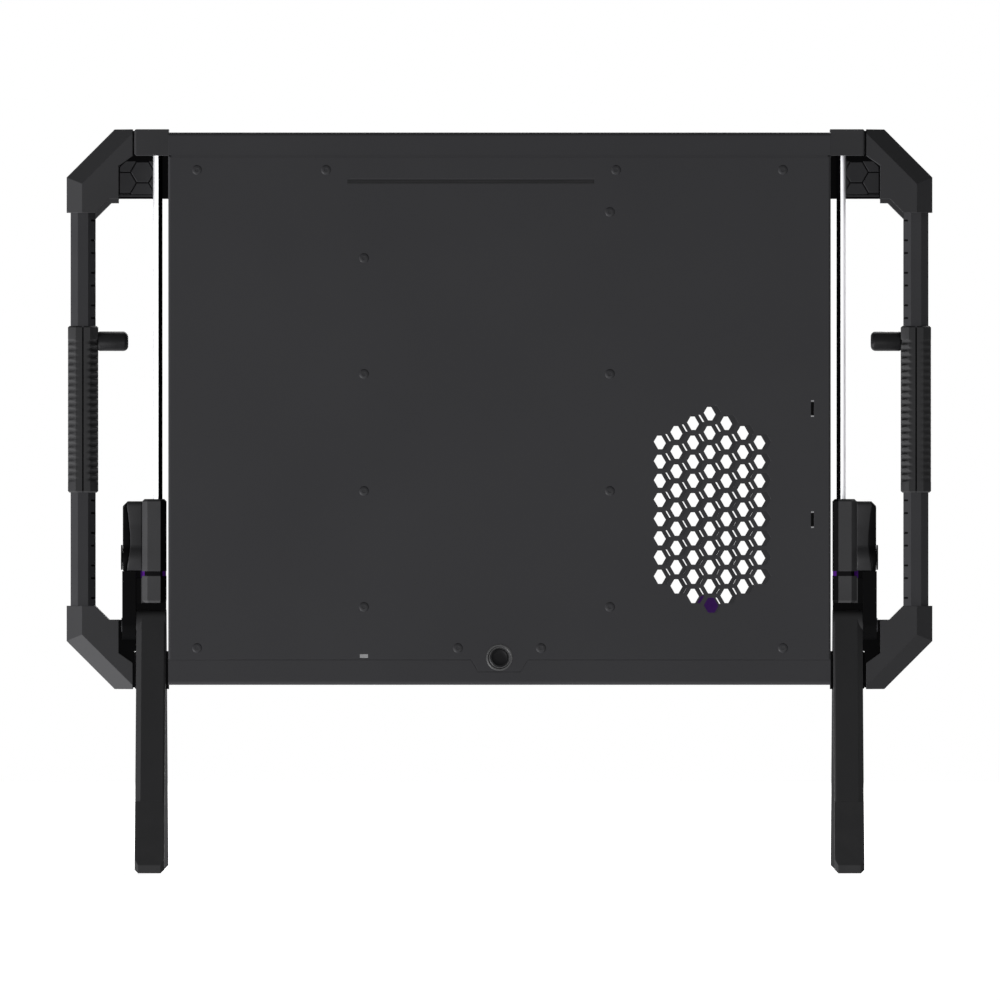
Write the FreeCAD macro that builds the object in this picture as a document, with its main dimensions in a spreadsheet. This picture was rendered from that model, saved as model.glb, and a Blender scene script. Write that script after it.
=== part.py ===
import FreeCAD, Part
import math
import os
import re
import Sketcher

# Portable mini-ITX computer case with carry handles and a sliding, folding stand.
# X runs to the right of someone who faces the back of the case, Y runs from the back to the front, Z is up.
# The origin is on the ground, under the middle of the case. Lengths are millimetres, angles are degrees.

SIZES = {
    # case
    "caseWidth": 424, "caseHeight": 353.6, "caseDepth": 84, "caseLift": 119.6,
    "sheetWall": 2, "topLip": 14.4, "bottomLip": 16, "seamGap": 0.3,
    "railRound": 2.4, "coverRound": 1.5, "flangeWidth": 37, "joggleHeight": 14.5, "joggleGap": 0.5,
    # tab of the back cover that carries the power button
    "tabTopWidth": 36.4, "tabBottomWidth": 26.6, "tabDrop": 7.7,
    # honeycomb vents
    "ventInset": 75.7, "ventRise": 112.6, "cellPitch": 12.31, "cellAcross": 9.6,
    "frontVentShiftX": -2.95, "frontVentShiftZ": -0.8, "lensFlange": 1.6, "lensLip": 1.2,
    # small openings of the back cover
    "ioSlotHeight": 3.2, "ioSlotDrop": 31.1, "ioTabGap": 0.4, "ioTabRecess": 0.4,
    "lockSlotRise": 18.6, "lockSlotWidth": 6, "lockSlotHeight": 3,
    "tieSlotInset": 11.7, "tieSlotLowRise": 105.8, "tieSlotHighRise": 176.9,
    "tieSlotWidth": 2, "tieSlotHeight": 10.8,
    # power button
    "buttonRise": 17.5, "bezelRadius": 8.65, "bezelProud": 1.6, "barrelRadius": 7, "barrelLength": 16,
    "capRadius": 5.75, "capProud": 2.6, "capLength": 9, "capClear": 0.1, "joggleHole": 9,
    # port opening and its recessed plate
    "ioInset": 114.4, "ioWidth": 158.75, "ioDepth": 44.45, "ioStandIn": 11.9, "ioMargin": 6.4, "shelfWall": 1.2,
    # board rails and standoffs of a mini-ITX board
    "boardInset": 10.9, "boardColumnGap": 157.48, "barWidth": 12, "barDepth": 6, "barRise": 35.4,
    "barTopGap": 1, "boardEdgeGap": 1, "boardRow": 10.16, "boardRowShift": 22.86, "boardRowGap": 154.94,
    "standoffAcross": 6, "standoffHeight": 6.5, "standoffBore": 1.25,
    # power supply bracket
    "psuInset": 57, "psuWidth": 100, "psuDepth": 63.5, "psuMargin": 4.5, "psuEdge": 1.5, "psuPlate": 1.5,
    "psuWindowWidth": 78, "psuWindowDepth": 41.5, "psuHoleSpanX": 88, "psuHoleSpanY": 51.5, "psuHole": 1.75,
    # expansion card bracket
    "cardGap": 24.85, "cardInset": 8, "cardDepth": 44, "cardMargin": 4.5, "cardSlotMargin": 9,
    "cardSlotWidth": 13, "cardSlotPitch": 20.32,
    # handle frame
    "handleProudTop": 2.4, "handleProudLow": 2.9,
    "blockWidth": 22.1, "blockHeight": 16.8, "upperBlockDepth": 32, "lowerBlockDepth": 15,
    "lowerBlockHeight": 24.3, "blockRound": 1.5, "elbowGap": 1.1,
    "elbowReach": 65.6, "elbowDrop": 53.4, "elbowCorner": 30.8, "elbowWaist": 32.2, "elbowThroat": 44.5,
    "elbowNotch": 23.2, "elbowDepth": 32, "elbowBevel": 10, "elbowLip": 2.8, "elbowLipDepth": 16,
    "tubeOffset": 55.1, "tubeAcross": 16, "tubeBore": 5.5, "tubeSeat": 12,
    "tubeSlotPitch": 20.85, "tubeSlotLength": 12.7, "tubeSlotWidth": 5.6, "tubeSlotDepth": 3,
    "gripWidth": 19.3, "gripDepth": 24, "gripLength": 106.9, "gripBevel": 5, "gripEndBevel": 1,
    "plungerRise": 43.65, "knobRadius": 6.3, "knobLength": 19.2, "knobTaper": 3, "knobTip": 4.4, "knobGap": 0.2,
    "stemRadius": 2.5, "stemReach": 5.2,
    "boltRadius": 2.5, "boltHeadAcross": 8, "boltHead": 3, "boltBite": 12, "upperBoltSpan": 20,
    "upperBoltDrop": 11, "lowerBoltRise": 9.8,
    "gussetDrop": 27.6, "gussetWall": 6, "gussetOffset": 5, "lowerGussetWall": 10, "lowerGussetReach": 6,
    "spacerInset": 1,
    # guide rod and carriage
    "rodRadius": 3, "rodOffset": 7.2, "rodSeat": 10, "runClear": 0.05,
    "carriageGap": 1.8, "carriageWidth": 15.2, "carriageDepth": 44, "knuckleRoof": 4.5,
    "jawHeight": 17.3, "washerHeight": 3, "washerInset": 0.2, "clampHeight": 46.3,
    "carriageBevel": 3.4, "jawBevel": 1.5,
    # stand legs
    "pivotHeight": 158, "pivotOffset": 16.5, "pinRadius": 3, "pinHead": 0.6, "pinHeadRadius": 4.5,
    "knuckleRadius": 9.5, "legWidth": 18.8, "legThick": 13, "legSplay": 30, "bootReach": 47.2, "legBevel": 3.4,
    "lugGap": 0.3, "lugThick": 8.8, "lugRise": 3, "bridgeThick": 4.4, "bridgeDrop": 1.3, "bridgeHeight": 16,
    "webClear": 1, "webDrop": 7.5, "stopRise": 7.5, "stopDepth": 15, "stopClear": 1.6, "stopGap": 1,
    "tenonLength": 30, "tenonInset": 2.6, "bootToe": 6, "bootBevel": 2.2,
    # clamp lever
    "leverRise": 29.2, "leverOffset": 15, "leverGap": 0.2, "leverWidth": 12.2, "leverHub": 8.4, "leverReach": 36,
    "leverArm": 11, "leverBevel": 3.6, "clampBolt": 3, "clampBoltBite": 9, "clampHead": 8, "clampHeadThick": 1,
}
VENT_COLUMNS = (8, 9, 10, 11, 10, 9, 8)
TUBE_SLOTS = 12

doc = FreeCAD.newDocument("PortableCase")
sheet = doc.addObject("Spreadsheet::Sheet", "dims")
for row, (alias, value) in enumerate(SIZES.items(), 1):
    sheet.set("A%d" % row, alias)
    sheet.set("B%d" % row, str(value))
    sheet.setAlias("B%d" % row, alias)
doc.recompute()

# Places that several pieces share
caseTop = "(caseLift + caseHeight)"
coverInner = "(caseDepth / 2 - sheetWall)"
coverLow = "(caseLift + bottomLip + seamGap)"
coverHigh = f"({caseTop} - topLip - seamGap)"
buttonHeight = "(caseLift + buttonRise)"
handleTop = f"({caseTop} + handleProudTop)"
handleLow = "(caseLift - handleProudLow)"
handleMid = f"(({handleTop} + {handleLow}) / 2)"
shelfTop = f"({caseTop} - ioSlotDrop + shelfWall / 2)"
shelfLow = f"({caseTop} - ioSlotDrop - shelfWall / 2)"
carriageBase = "(pivotHeight + knuckleRadius + knuckleRoof)"
washerLow = f"({carriageBase} + jawHeight)"
bridgeTop = f"({washerLow} - bridgeDrop)"
clampLow = f"({washerLow} + washerHeight)"
leverHeight = f"({carriageBase} + leverRise)"
ioLeft = "(ioInset - caseWidth / 2)"
ioRight = f"({ioLeft} + ioWidth)"
ioRear = f"(ioStandIn - {coverInner})"
ioMiddle = f"({ioLeft} + ioWidth / 2)"
boardColumn = f"({ioLeft} + boardInset)"
ventX = "(caseWidth / 2 - ventInset)"
tieSlotX = "(caseWidth / 2 - tieSlotInset)"
psuX = "(psuInset - caseWidth / 2)"
cardLeft = f"({ioRight} + cardGap)"
cardRight = "(caseWidth / 2 - cardInset)"


def cells(text):
    """The text of an expression with each size replaced by its cell of the sheet."""
    return re.sub(r"[A-Za-z]\w*", lambda m: "dims." + m[0] if m[0] in SIZES else m[0], str(text))


def number(text):
    """What an expression comes to."""
    return float(sheet.evalExpression(cells(text)))


def bind(item, **expressions):
    for name, text in expressions.items():
        item.setExpression(name.replace("_", "."), cells(text))
    return item


def out(offset):
    """X of a place on the left, by its distance outwards from the side of the case."""
    return f"(-caseWidth / 2 - ({offset}))"


def place(item, x="0", y="0", z="0"):
    bind(item, Placement_Base_x=x, Placement_Base_y=y, Placement_Base_z=z)
    return item


def block(low, high):
    """A box between two corners."""
    item = doc.addObject("Part::Box", "Block")
    sides = [f"({b}) - ({a})" for a, b in zip(low, high)]
    bind(item, Length=sides[0], Width=sides[1], Height=sides[2])
    return place(item, *low)


AXIS_TURNS = {
    "x": FreeCAD.Rotation(FreeCAD.Vector(0, 1, 0), 90),
    "y": FreeCAD.Rotation(FreeCAD.Vector(1, 0, 0), -90),
    "z": FreeCAD.Rotation(),
}


def rod(axis, start, length, radius):
    """A round bar from its start along X, Y or Z."""
    item = doc.addObject("Part::Cylinder", "Rod")
    item.Placement = FreeCAD.Placement(FreeCAD.Vector(), AXIS_TURNS[axis])
    bind(item, Radius=radius, Height=length)
    return place(item, *start)


def fuse(*items):
    item = doc.addObject("Part::MultiFuse", "Fused")
    item.Shapes = list(items)
    item.Refine = True
    return item


def cut(base, *tools):
    item = doc.addObject("Part::Cut", "Cut")
    item.Base = base
    item.Tool = tools[0] if len(tools) == 1 else fuse(*tools)
    return item


AXES = {"x": FreeCAD.Vector(1, 0, 0), "y": FreeCAD.Vector(0, 1, 0), "z": FreeCAD.Vector(0, 0, 1)}


def mirror(source, axis, at="0"):
    """The same piece on the other side of a plane across X, Y or Z."""
    item = doc.addObject("Part::Mirroring", "Mirrored")
    item.Source = source
    item.Normal = AXES[axis]
    item.setExpression("Base." + axis, cells(at))
    return item


def newBody():
    return doc.addObject("PartDesign::Body", "Body")


def profile(body, plane, corners):
    """A closed outline on one of the body's planes, each corner held by two sizes."""
    sketch = body.newObject("Sketcher::SketchObject", "Outline")
    support = [p for p in body.Origin.OriginFeatures if p.Role == plane + "_Plane"][0]
    sketch.AttachmentSupport = [(support, "")]
    sketch.MapMode = "FlatFace"
    points = [FreeCAD.Vector(number(a), number(b), 0) for a, b in corners]
    count = len(points)
    for n in range(count):
        sketch.addGeometry(Part.LineSegment(points[n], points[(n + 1) % count]))
    for n in range(count):
        sketch.addConstraint(Sketcher.Constraint("Coincident", n, 2, (n + 1) % count, 1))
    for n, corner in enumerate(corners):
        for kind, text, value in zip(("DistanceX", "DistanceY"), corner, points[n]):
            held = sketch.addConstraint(Sketcher.Constraint(kind, -1, 1, n, 1, value))
            sketch.setExpression("Constraints[%d]" % held, cells(text))
    return sketch


def ring(body, plane, centre, radius):
    """A circle on one of the body's planes."""
    sketch = body.newObject("Sketcher::SketchObject", "Circle")
    support = [p for p in body.Origin.OriginFeatures if p.Role == plane + "_Plane"][0]
    sketch.AttachmentSupport = [(support, "")]
    sketch.MapMode = "FlatFace"
    middle = FreeCAD.Vector(number(centre[0]), number(centre[1]), 0)
    sketch.addGeometry(Part.Circle(middle, FreeCAD.Vector(0, 0, 1), number(radius)))
    for kind, text, value in zip(("DistanceX", "DistanceY"), centre, middle):
        held = sketch.addConstraint(Sketcher.Constraint(kind, -1, 1, 0, 3, value))
        sketch.setExpression("Constraints[%d]" % held, cells(text))
    held = sketch.addConstraint(Sketcher.Constraint("Radius", 0, number(radius)))
    sketch.setExpression("Constraints[%d]" % held, cells(radius))
    return sketch


def pad(body, sketch, length, both=False, back=False):
    feature = body.newObject("PartDesign::Pad", "Pad")
    feature.Profile = sketch
    feature.SideType = "Symmetric" if both else "One side"
    feature.Reversed = back
    bind(feature, Length=length)
    return feature


def pocket(body, sketch, length):
    """A cut through the body, as far to each side of the outline."""
    feature = body.newObject("PartDesign::Pocket", "Pocket")
    feature.Profile = sketch
    feature.SideType = "Symmetric"
    bind(feature, Length=length)
    return feature


def edges(shape, wanted, along):
    """The names of the straight edges whose two ends both pass the test, and that run along X, Y or Z if set."""
    found = []
    for n, edge in enumerate(shape.Edges, 1):
        ends = [v.Point for v in edge.Vertexes]
        if len(ends) == 2 and all(wanted(p) for p in ends):
            run = ends[1] - ends[0]
            if along is None or abs(getattr(run, along)) > 0.999 * run.Length:
                found.append("Edge%d" % n)
    return found


def ease(body, kind, size, wanted, along=None):
    """A chamfer or fillet of the body's edges that pass the test."""
    doc.recompute()
    base = body.Tip
    feature = body.newObject("PartDesign::" + kind, kind)
    feature.Base = (base, edges(base.Shape, wanted, along))
    bind(feature, **{"Radius" if kind == "Fillet" else "Size": size})
    return feature


def near(a, text):
    return abs(a - number(text)) < 1e-4


NODES = {}


def node(name, item):
    item.Label = name
    NODES[name] = item
    return item


def pair(name, item):
    """A piece of the left side and its mirror image on the right."""
    node("left_" + name, item)
    node("right_" + name, mirror(item, "x"))
    return item


def channel(top):
    """The folded rail along the top or bottom of the case, with an inner step that the covers seat on."""
    edge = caseTop if top else "caseLift"
    sign, lip = ("-", "topLip") if top else ("+", "bottomLip")
    body = newBody()
    outer, inner = "caseDepth / 2", coverInner
    section = [
        (f"-{outer}", f"{edge} {sign} {lip}"), (f"-{outer}", edge),
        (outer, edge), (outer, f"{edge} {sign} {lip}"),
        (inner, f"{edge} {sign} {lip}"), (inner, f"{edge} {sign} sheetWall"),
        (f"-{inner}", f"{edge} {sign} sheetWall"), (f"-{inner}", f"{edge} {sign} {lip}"),
    ]
    pad(body, profile(body, "YZ", section), "caseWidth", both=True)
    ease(body, "Fillet", "railRound", lambda p: near(p.z, edge) and near(abs(p.y), outer), "x")
    deep = f"({inner} - sheetWall)"
    steps = []
    for side in (-1, 1):
        face, back = (f"{side} * {inner}", f"{side} * {deep}")
        low, high = sorted((face, back), key=number)
        far = f"{edge} {sign} {lip} {sign} joggleHeight"
        start = f"{edge} {sign} sheetWall"
        bottom, roof = sorted((far, start), key=number)
        half = "(caseWidth / 2 - flangeWidth - joggleGap)"
        steps.append(block((f"-{half}", low, bottom), (half, high, roof)))
    return fuse(body, *steps)


def hexagon(across, x, z, low, high):
    """A six-sided prism along Y with corners to its left and right."""
    reach = across / math.sqrt(3)
    turns = [math.radians(60 * n) for n in range(7)]
    corners = [FreeCAD.Vector(x + reach * math.cos(t), low, z + reach * math.sin(t)) for t in turns]
    return Part.Face(Part.makePolygon(corners)).extrude(FreeCAD.Vector(0, high - low, 0))


def vent(shiftX, shiftZ, low, high):
    """The honeycomb of a vent, as the cells to cut."""
    pitch, across = number("cellPitch"), number("cellAcross")
    step = pitch * math.sqrt(3) / 2
    ventCells = []
    for column, count in enumerate(VENT_COLUMNS):
        x = number(ventX) + shiftX + (column - (len(VENT_COLUMNS) - 1) / 2) * step
        for rank in range(count):
            z = number("caseLift + ventRise") + shiftZ + (rank - (count - 1) / 2) * pitch
            ventCells.append(hexagon(across, x, z, number(low), number(high)))
    item = doc.addObject("Part::Feature", "VentCells")
    item.Shape = Part.makeCompound(ventCells)
    return item


def cover(corners, rear):
    """A flat cover with rounded upright edges."""
    body = newBody()
    pad(body, profile(body, "XZ", corners), "sheetWall")
    outer = "-sheetWall" if rear else "0"
    ease(
        body, "Fillet", "coverRound",
        lambda p: near(abs(p.x), "caseWidth / 2") and near(p.y, outer),
    )
    return place(body, y=f"-{coverInner}" if rear else "caseDepth / 2")


def window(x, z, width, height):
    """An upright slot through the back cover."""
    return block(
        (f"{x} - {width} / 2", "-caseDepth / 2 - sheetWall", f"{z} - {height} / 2"),
        (f"{x} + {width} / 2", f"-{coverInner} + sheetWall", f"{z} + {height} / 2"),
    )


def shelfWindow(left, right, rear, front, low, high):
    return block((left, rear, low), (right, front, high))


# Rails along the top and the bottom
topWebLow, topWebHigh = f"{caseTop} - 2 * sheetWall", f"{caseTop} + sheetWall"
topOpenings = [
    shelfWindow(ioLeft, ioRight, ioRear, f"{ioRear} + ioDepth", topWebLow, topWebHigh),
    shelfWindow(
        f"{psuX} - psuWidth / 2", f"{psuX} + psuWidth / 2", "-psuDepth / 2", "psuDepth / 2", topWebLow, topWebHigh
    ),
    shelfWindow(cardLeft, cardRight, "-cardDepth / 2", "cardDepth / 2", topWebLow, topWebHigh),
]
node("top_rail", cut(channel(True), *topOpenings))

notch = newBody()
notchCorners = [
    ("-tabTopWidth / 2 - seamGap - tabDrop", f"{coverLow} + tabDrop"),
    ("-tabTopWidth / 2 - seamGap", coverLow),
    ("-tabBottomWidth / 2 - seamGap", f"{coverLow} - tabDrop - seamGap"),
    ("tabBottomWidth / 2 + seamGap", f"{coverLow} - tabDrop - seamGap"),
    ("tabTopWidth / 2 + seamGap", coverLow),
    ("tabTopWidth / 2 + seamGap + tabDrop", f"{coverLow} + tabDrop"),
]
pad(notch, profile(notch, "XZ", notchCorners), "2 * sheetWall")
place(notch, y=f"-{coverInner}")
buttonWay = rod("y", ("0", "-caseDepth / 2", buttonHeight), "3 * sheetWall", "joggleHole")
node("bottom_rail", cut(channel(False), notch, buttonWay))

# Side walls, folded inwards where the covers are screwed on
wall = newBody()
outerX, innerX = "-caseWidth / 2", "-caseWidth / 2 + sheetWall"
flangeX = "-caseWidth / 2 + flangeWidth"
flangeIn = f"({coverInner} - sheetWall)"
wallCorners = [
    (outerX, f"-{coverInner}"), (flangeX, f"-{coverInner}"),
    (flangeX, f"-{flangeIn}"), (innerX, f"-{flangeIn}"),
    (innerX, flangeIn), (flangeX, flangeIn), (flangeX, coverInner), (outerX, coverInner),
]
pad(wall, profile(wall, "XY", wallCorners), "caseHeight - 2 * sheetWall")
place(wall, z="caseLift + sheetWall")
upperBoltZ = f"({handleTop} - upperBoltDrop)"
lowerBoltZ = f"({handleLow} + lowerBoltRise)"
boltSpots = [("-upperBoltSpan / 2", upperBoltZ), ("upperBoltSpan / 2", upperBoltZ), ("0", lowerBoltZ)]


def boltShank(spot):
    """The shank of a bolt that holds an elbow and its end block to the side wall."""
    start = out("blockWidth + elbowGap + boltBite")
    return rod("x", (start, *spot), "blockWidth + elbowGap + boltBite + sheetWall", "boltRadius")


pair("side_wall", cut(wall, *[boltShank(spot) for spot in boltSpots]))

# Back cover: vent, port slot, lock slot, cable-tie slots and the button's tab
rearCorners = [
    ("-caseWidth / 2", coverLow), ("-tabTopWidth / 2", coverLow),
    ("-tabBottomWidth / 2", f"{coverLow} - tabDrop"), ("tabBottomWidth / 2", f"{coverLow} - tabDrop"),
    ("tabTopWidth / 2", coverLow), ("caseWidth / 2", coverLow),
    ("caseWidth / 2", coverHigh), ("-caseWidth / 2", coverHigh),
]
rearOpenings = [
    vent(0, 0, "-caseDepth / 2 - sheetWall", f"-{coverInner} + sheetWall"),
    window(ioMiddle, f"({caseTop} - ioSlotDrop)", "(ioWidth - 2 * ioTabGap)", "ioSlotHeight"),
    window(boardColumn, "(caseLift + lockSlotRise)", "lockSlotWidth", "lockSlotHeight"),
    window(tieSlotX, "(caseLift + tieSlotLowRise)", "tieSlotWidth", "tieSlotHeight"),
    window(tieSlotX, "(caseLift + tieSlotHighRise)", "tieSlotWidth", "tieSlotHeight"),
    rod("y", ("0", "-caseDepth / 2 - sheetWall", buttonHeight), "3 * sheetWall", "barrelRadius"),
]
rearCover = cover(rearCorners, True)
for opening in rearOpenings:
    rearCover = cut(rearCover, opening)
node("rear_cover", rearCover)

# Front cover, with the same vent and a violet lamp lens in its lowest cell
frontCorners = [
    ("-caseWidth / 2", coverLow), ("caseWidth / 2", coverLow),
    ("caseWidth / 2", coverHigh), ("-caseWidth / 2", coverHigh),
]
frontVent = vent(
    number("frontVentShiftX"), number("frontVentShiftZ"),
    f"{coverInner} - sheetWall", "caseDepth / 2 + sheetWall",
)
node("front_cover", cut(cover(frontCorners, False), frontVent))


def lensPrism(across, low, high):
    item = doc.addObject("Part::Prism", "Lens")
    item.Polygon = 6
    item.Placement = FreeCAD.Placement(FreeCAD.Vector(), AXIS_TURNS["y"])
    bind(item, Circumradius=f"({across}) / sqrt(3)", Height=f"({high}) - ({low})")
    lowest = "caseLift + ventRise + frontVentShiftZ - cellPitch * %d / 2" % (max(VENT_COLUMNS) - 1)
    return place(item, f"{ventX} + frontVentShiftX", low, lowest)


lensPlug = lensPrism("cellAcross", coverInner, "caseDepth / 2")
lensRim = lensPrism("cellAcross + 2 * lensFlange", f"{coverInner} - lensLip", coverInner)
node("status_lens", fuse(lensPlug, lensRim))

# Power button: a bezel with a barrel through the cover, and a cap that slides in it
bezelFace = "(-caseDepth / 2 - bezelProud)"
bezelRing = rod("y", ("0", bezelFace, buttonHeight), "bezelProud", "bezelRadius")
barrel = rod("y", ("0", bezelFace, buttonHeight), "bezelProud + barrelLength", "barrelRadius")
capWay = rod("y", ("0", bezelFace, buttonHeight), "bezelProud + barrelLength - sheetWall", "capRadius + capClear")
node("power_button_bezel", cut(fuse(bezelRing, barrel), capWay))
node(
    "power_button_cap",
    rod("y", ("0", "-caseDepth / 2 - capProud", buttonHeight), "capLength", "capRadius"),
)

# Port plate: a shelf below the top opening, with a tab in the back cover's slot
ioShelf = block(
    (f"{ioLeft} - ioMargin", f"-{coverInner}", shelfLow), (f"{ioRight} + ioMargin", coverInner, shelfTop)
)
ioTab = block(
    (f"{ioLeft} + 2 * ioTabGap", "-caseDepth / 2 + ioTabRecess", shelfLow),
    (f"{ioRight} - 2 * ioTabGap", f"-{coverInner}", shelfTop),
)
ioPort = shelfWindow(
    ioLeft, ioRight, ioRear, f"{ioRear} + ioDepth", f"{shelfLow} - shelfWall", f"{shelfTop} + shelfWall"
)
node("io_plate", cut(fuse(ioShelf, ioTab), ioPort))

# Bracket for two expansion cards
cardShelf = block(
    (f"{cardLeft} - cardMargin", f"-{flangeIn}", shelfLow), (f"{cardRight} + cardMargin", flangeIn, shelfTop)
)
cardSlots = [
    shelfWindow(
        f"{cardLeft} + cardSlotMargin", f"{cardRight} - cardSlotMargin",
        f"{side} * cardSlotPitch / 2 - cardSlotWidth / 2", f"{side} * cardSlotPitch / 2 + cardSlotWidth / 2",
        f"{shelfLow} - shelfWall", f"{shelfTop} + shelfWall",
    )
    for side in (-1, 1)
]
node("expansion_bracket", cut(cardShelf, *cardSlots))

# Bracket for the power supply, under the top web
psuHigh = f"({caseTop} - sheetWall)"
psuPlate = block(
    (f"{psuX} - psuWidth / 2 - psuMargin", "-psuDepth / 2 - psuEdge", f"{psuHigh} - psuPlate"),
    (f"{psuX} + psuWidth / 2 + psuMargin", "psuDepth / 2 + psuEdge", psuHigh),
)
psuWindow = shelfWindow(
    f"{psuX} - psuWindowWidth / 2", f"{psuX} + psuWindowWidth / 2", "-psuWindowDepth / 2", "psuWindowDepth / 2",
    f"{psuHigh} - 2 * psuPlate", f"{psuHigh} + psuPlate",
)
psuHoles = [
    rod(
        "z", (f"{psuX} + {a} * psuHoleSpanX / 2", f"{b} * psuHoleSpanY / 2", f"{psuHigh} - 2 * psuPlate"),
        "3 * psuPlate", "psuHole",
    )
    for a in (-1, 1)
    for b in (-1, 1)
]
node("psu_bracket", cut(psuPlate, psuWindow, *psuHoles))

# Two upright bars behind the back cover, and the standoffs of the board on them
boardEdge = f"({shelfLow} - boardEdgeGap)"
columns = {"left": boardColumn, "right": f"({boardColumn} + boardColumnGap)"}
for side, x in columns.items():
    bar = block(
        (f"{x} - barWidth / 2", f"-{coverInner}", "caseLift + barRise"),
        (f"{x} + barWidth / 2", f"-{coverInner} + barDepth", f"{shelfLow} - barTopGap"),
    )
    node(side + "_board_rail", bar)


def standoff(x, z):
    item = doc.addObject("Part::Prism", "Standoff")
    item.Polygon = 6
    item.Placement = FreeCAD.Placement(FreeCAD.Vector(), AXIS_TURNS["y"])
    bind(item, Circumradius="standoffAcross / sqrt(3)", Height="standoffHeight")
    seat = f"(-{coverInner} + barDepth)"
    place(item, x, seat, z)
    return cut(item, rod("y", (x, seat, z), "standoffHeight", "standoffBore"))


standoffSpots = [
    (columns["right"], f"{boardEdge} - boardRow"),
    (columns["left"], f"{boardEdge} - boardRow - boardRowShift"),
    (columns["right"], f"{boardEdge} - boardRow - boardRowGap"),
    (columns["left"], f"{boardEdge} - boardRow - boardRowGap"),
]
standoffs = doc.addObject("Part::Compound", "Standoffs")
standoffs.Links = [standoff(x, z) for x, z in standoffSpots]
node("board_standoffs", standoffs)

# Guide rod and the end blocks that hold it
rodX = out("rodOffset")
lowerSeat = f"({handleLow} + lowerBlockHeight - rodSeat)"
upperSeat = f"({handleTop} - blockHeight + rodSeat)"


def guideRod():
    return rod("z", (rodX, "0", lowerSeat), f"{upperSeat} - {lowerSeat}", "rodRadius")


pair("guide_rod", guideRod())


def endBlock(depth, low, high, spots):
    body = newBody()
    x0, x1 = out("blockWidth"), out("0")
    corners = [(x0, low), (x1, low), (x1, high), (x0, high)]
    pad(body, profile(body, "XZ", corners), depth, both=True)
    ease(body, "Fillet", "blockRound", lambda p: near(p.x, x0))
    return cut(body, guideRod(), *[boltShank(spot) for spot in spots])


upperBlock = endBlock("upperBlockDepth", f"{handleTop} - blockHeight", handleTop, boltSpots[:2])
pair("upper_end_block", upperBlock)
lowerBlock = endBlock("lowerBlockDepth", handleLow, f"{handleLow} + lowerBlockHeight", boltSpots[2:])
pair("lower_end_block", lowerBlock)

# Handle tube, with a row of slots on the side that faces the case
tubeX = out("tubeOffset")


def octagon(across):
    """The corners of an eight-sided section, about the middle of the tube."""
    half, flat = f"({across} / 2)", f"({across} / 2 * (sqrt(2) - 1))"
    signs = [(half, flat), (flat, half), (f"-{flat}", half), (f"-{half}", flat),
             (f"-{half}", f"-{flat}"), (f"-{flat}", f"-{half}"), (flat, f"-{half}"), (half, f"-{flat}")]
    return [(f"{tubeX} + {a}", b) for a, b in signs]


tubeLow = f"({handleLow} + elbowDrop - tubeSeat)"
tubeLength = f"({handleTop} - {handleLow} - 2 * elbowDrop + 2 * tubeSeat)"


def tubeCore():
    body = newBody()
    pad(body, profile(body, "XY", octagon("tubeAcross")), tubeLength)
    return place(body, z=tubeLow)


plungerZ = f"({handleMid} + plungerRise)"
gripFace = f"({tubeX} + gripWidth / 2)"
stemStart = f"({gripFace} + knobGap - stemReach)"


def stemWay():
    """The hole for the plunger's stem through the grip and the tube's wall."""
    return rod("x", (stemStart, "0", plungerZ), "stemReach", "stemRadius + runClear")


tubeSlots = []
for n in range(TUBE_SLOTS):
    middle = f"({handleMid} + {n - (TUBE_SLOTS - 1) / 2} * tubeSlotPitch)"
    tubeSlots.append(
        block(
            (f"{tubeX} + tubeAcross / 2 - tubeSlotDepth", "-tubeSlotWidth / 2", f"{middle} - tubeSlotLength / 2"),
            (f"{tubeX} + tubeAcross / 2 + tubeSlotDepth", "tubeSlotWidth / 2", f"{middle} + tubeSlotLength / 2"),
        )
    )
hollow = rod("z", (tubeX, "0", tubeLow), tubeLength, "tubeBore")
pair("handle_tube", cut(tubeCore(), hollow, stemWay(), *tubeSlots))

# Elbows at the corners of the handle, with bevelled outer edges
elbowEnd = out("blockWidth + elbowGap")
elbowOuter = out("elbowReach")
throatX = f"({tubeX} + tubeAcross / 2)"
elbowCorners = [
    (elbowEnd, handleTop), (f"{elbowOuter} + elbowCorner", handleTop), (elbowOuter, f"{handleTop} - elbowCorner"),
    (elbowOuter, f"{handleTop} - elbowDrop"), (throatX, f"{handleTop} - elbowDrop"),
    (f"{throatX} + elbowDrop - elbowThroat", f"{handleTop} - elbowThroat"),
    (out("elbowWaist"), f"{handleTop} - elbowThroat"), (out("elbowWaist"), f"{handleTop} - elbowNotch"),
    (elbowEnd, f"{handleTop} - blockHeight"),
]


def elbow():
    body = newBody()
    pad(body, profile(body, "XZ", elbowCorners), "elbowDepth", both=True)

    def onOuterBevel(p, face):
        fall = number(handleTop) - p.z
        onSlope = near(p.x + fall, f"{elbowOuter} + elbowCorner")
        return near(p.y, face) and (near(p.x, elbowOuter) or onSlope)

    for face in ("elbowDepth / 2", "-elbowDepth / 2"):
        ease(body, "Chamfer", "elbowBevel", lambda p: onOuterBevel(p, face))
    return body


def elbowSocket():
    """The tube and the bolts that go into the elbow."""
    return [tubeCore(), *[boltShank(spot) for spot in boltSpots]]


def elbowLip():
    """The narrow lip under the inner edge of the upper elbow."""
    bendX, bendZ = elbowCorners[5]
    waistX, waistZ = elbowCorners[6]
    lipCorners = [
        elbowCorners[4], (throatX, f"{elbowCorners[4][1]} - elbowLip * sqrt(2)"),
        (f"{bendX} + elbowLip * (sqrt(2) - 1)", f"{bendZ} - elbowLip"), (waistX, f"{waistZ} - elbowLip"),
        elbowCorners[6], elbowCorners[5],
    ]
    body = newBody()
    pad(body, profile(body, "XZ", lipCorners), "elbowLipDepth", both=True)
    return body


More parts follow.
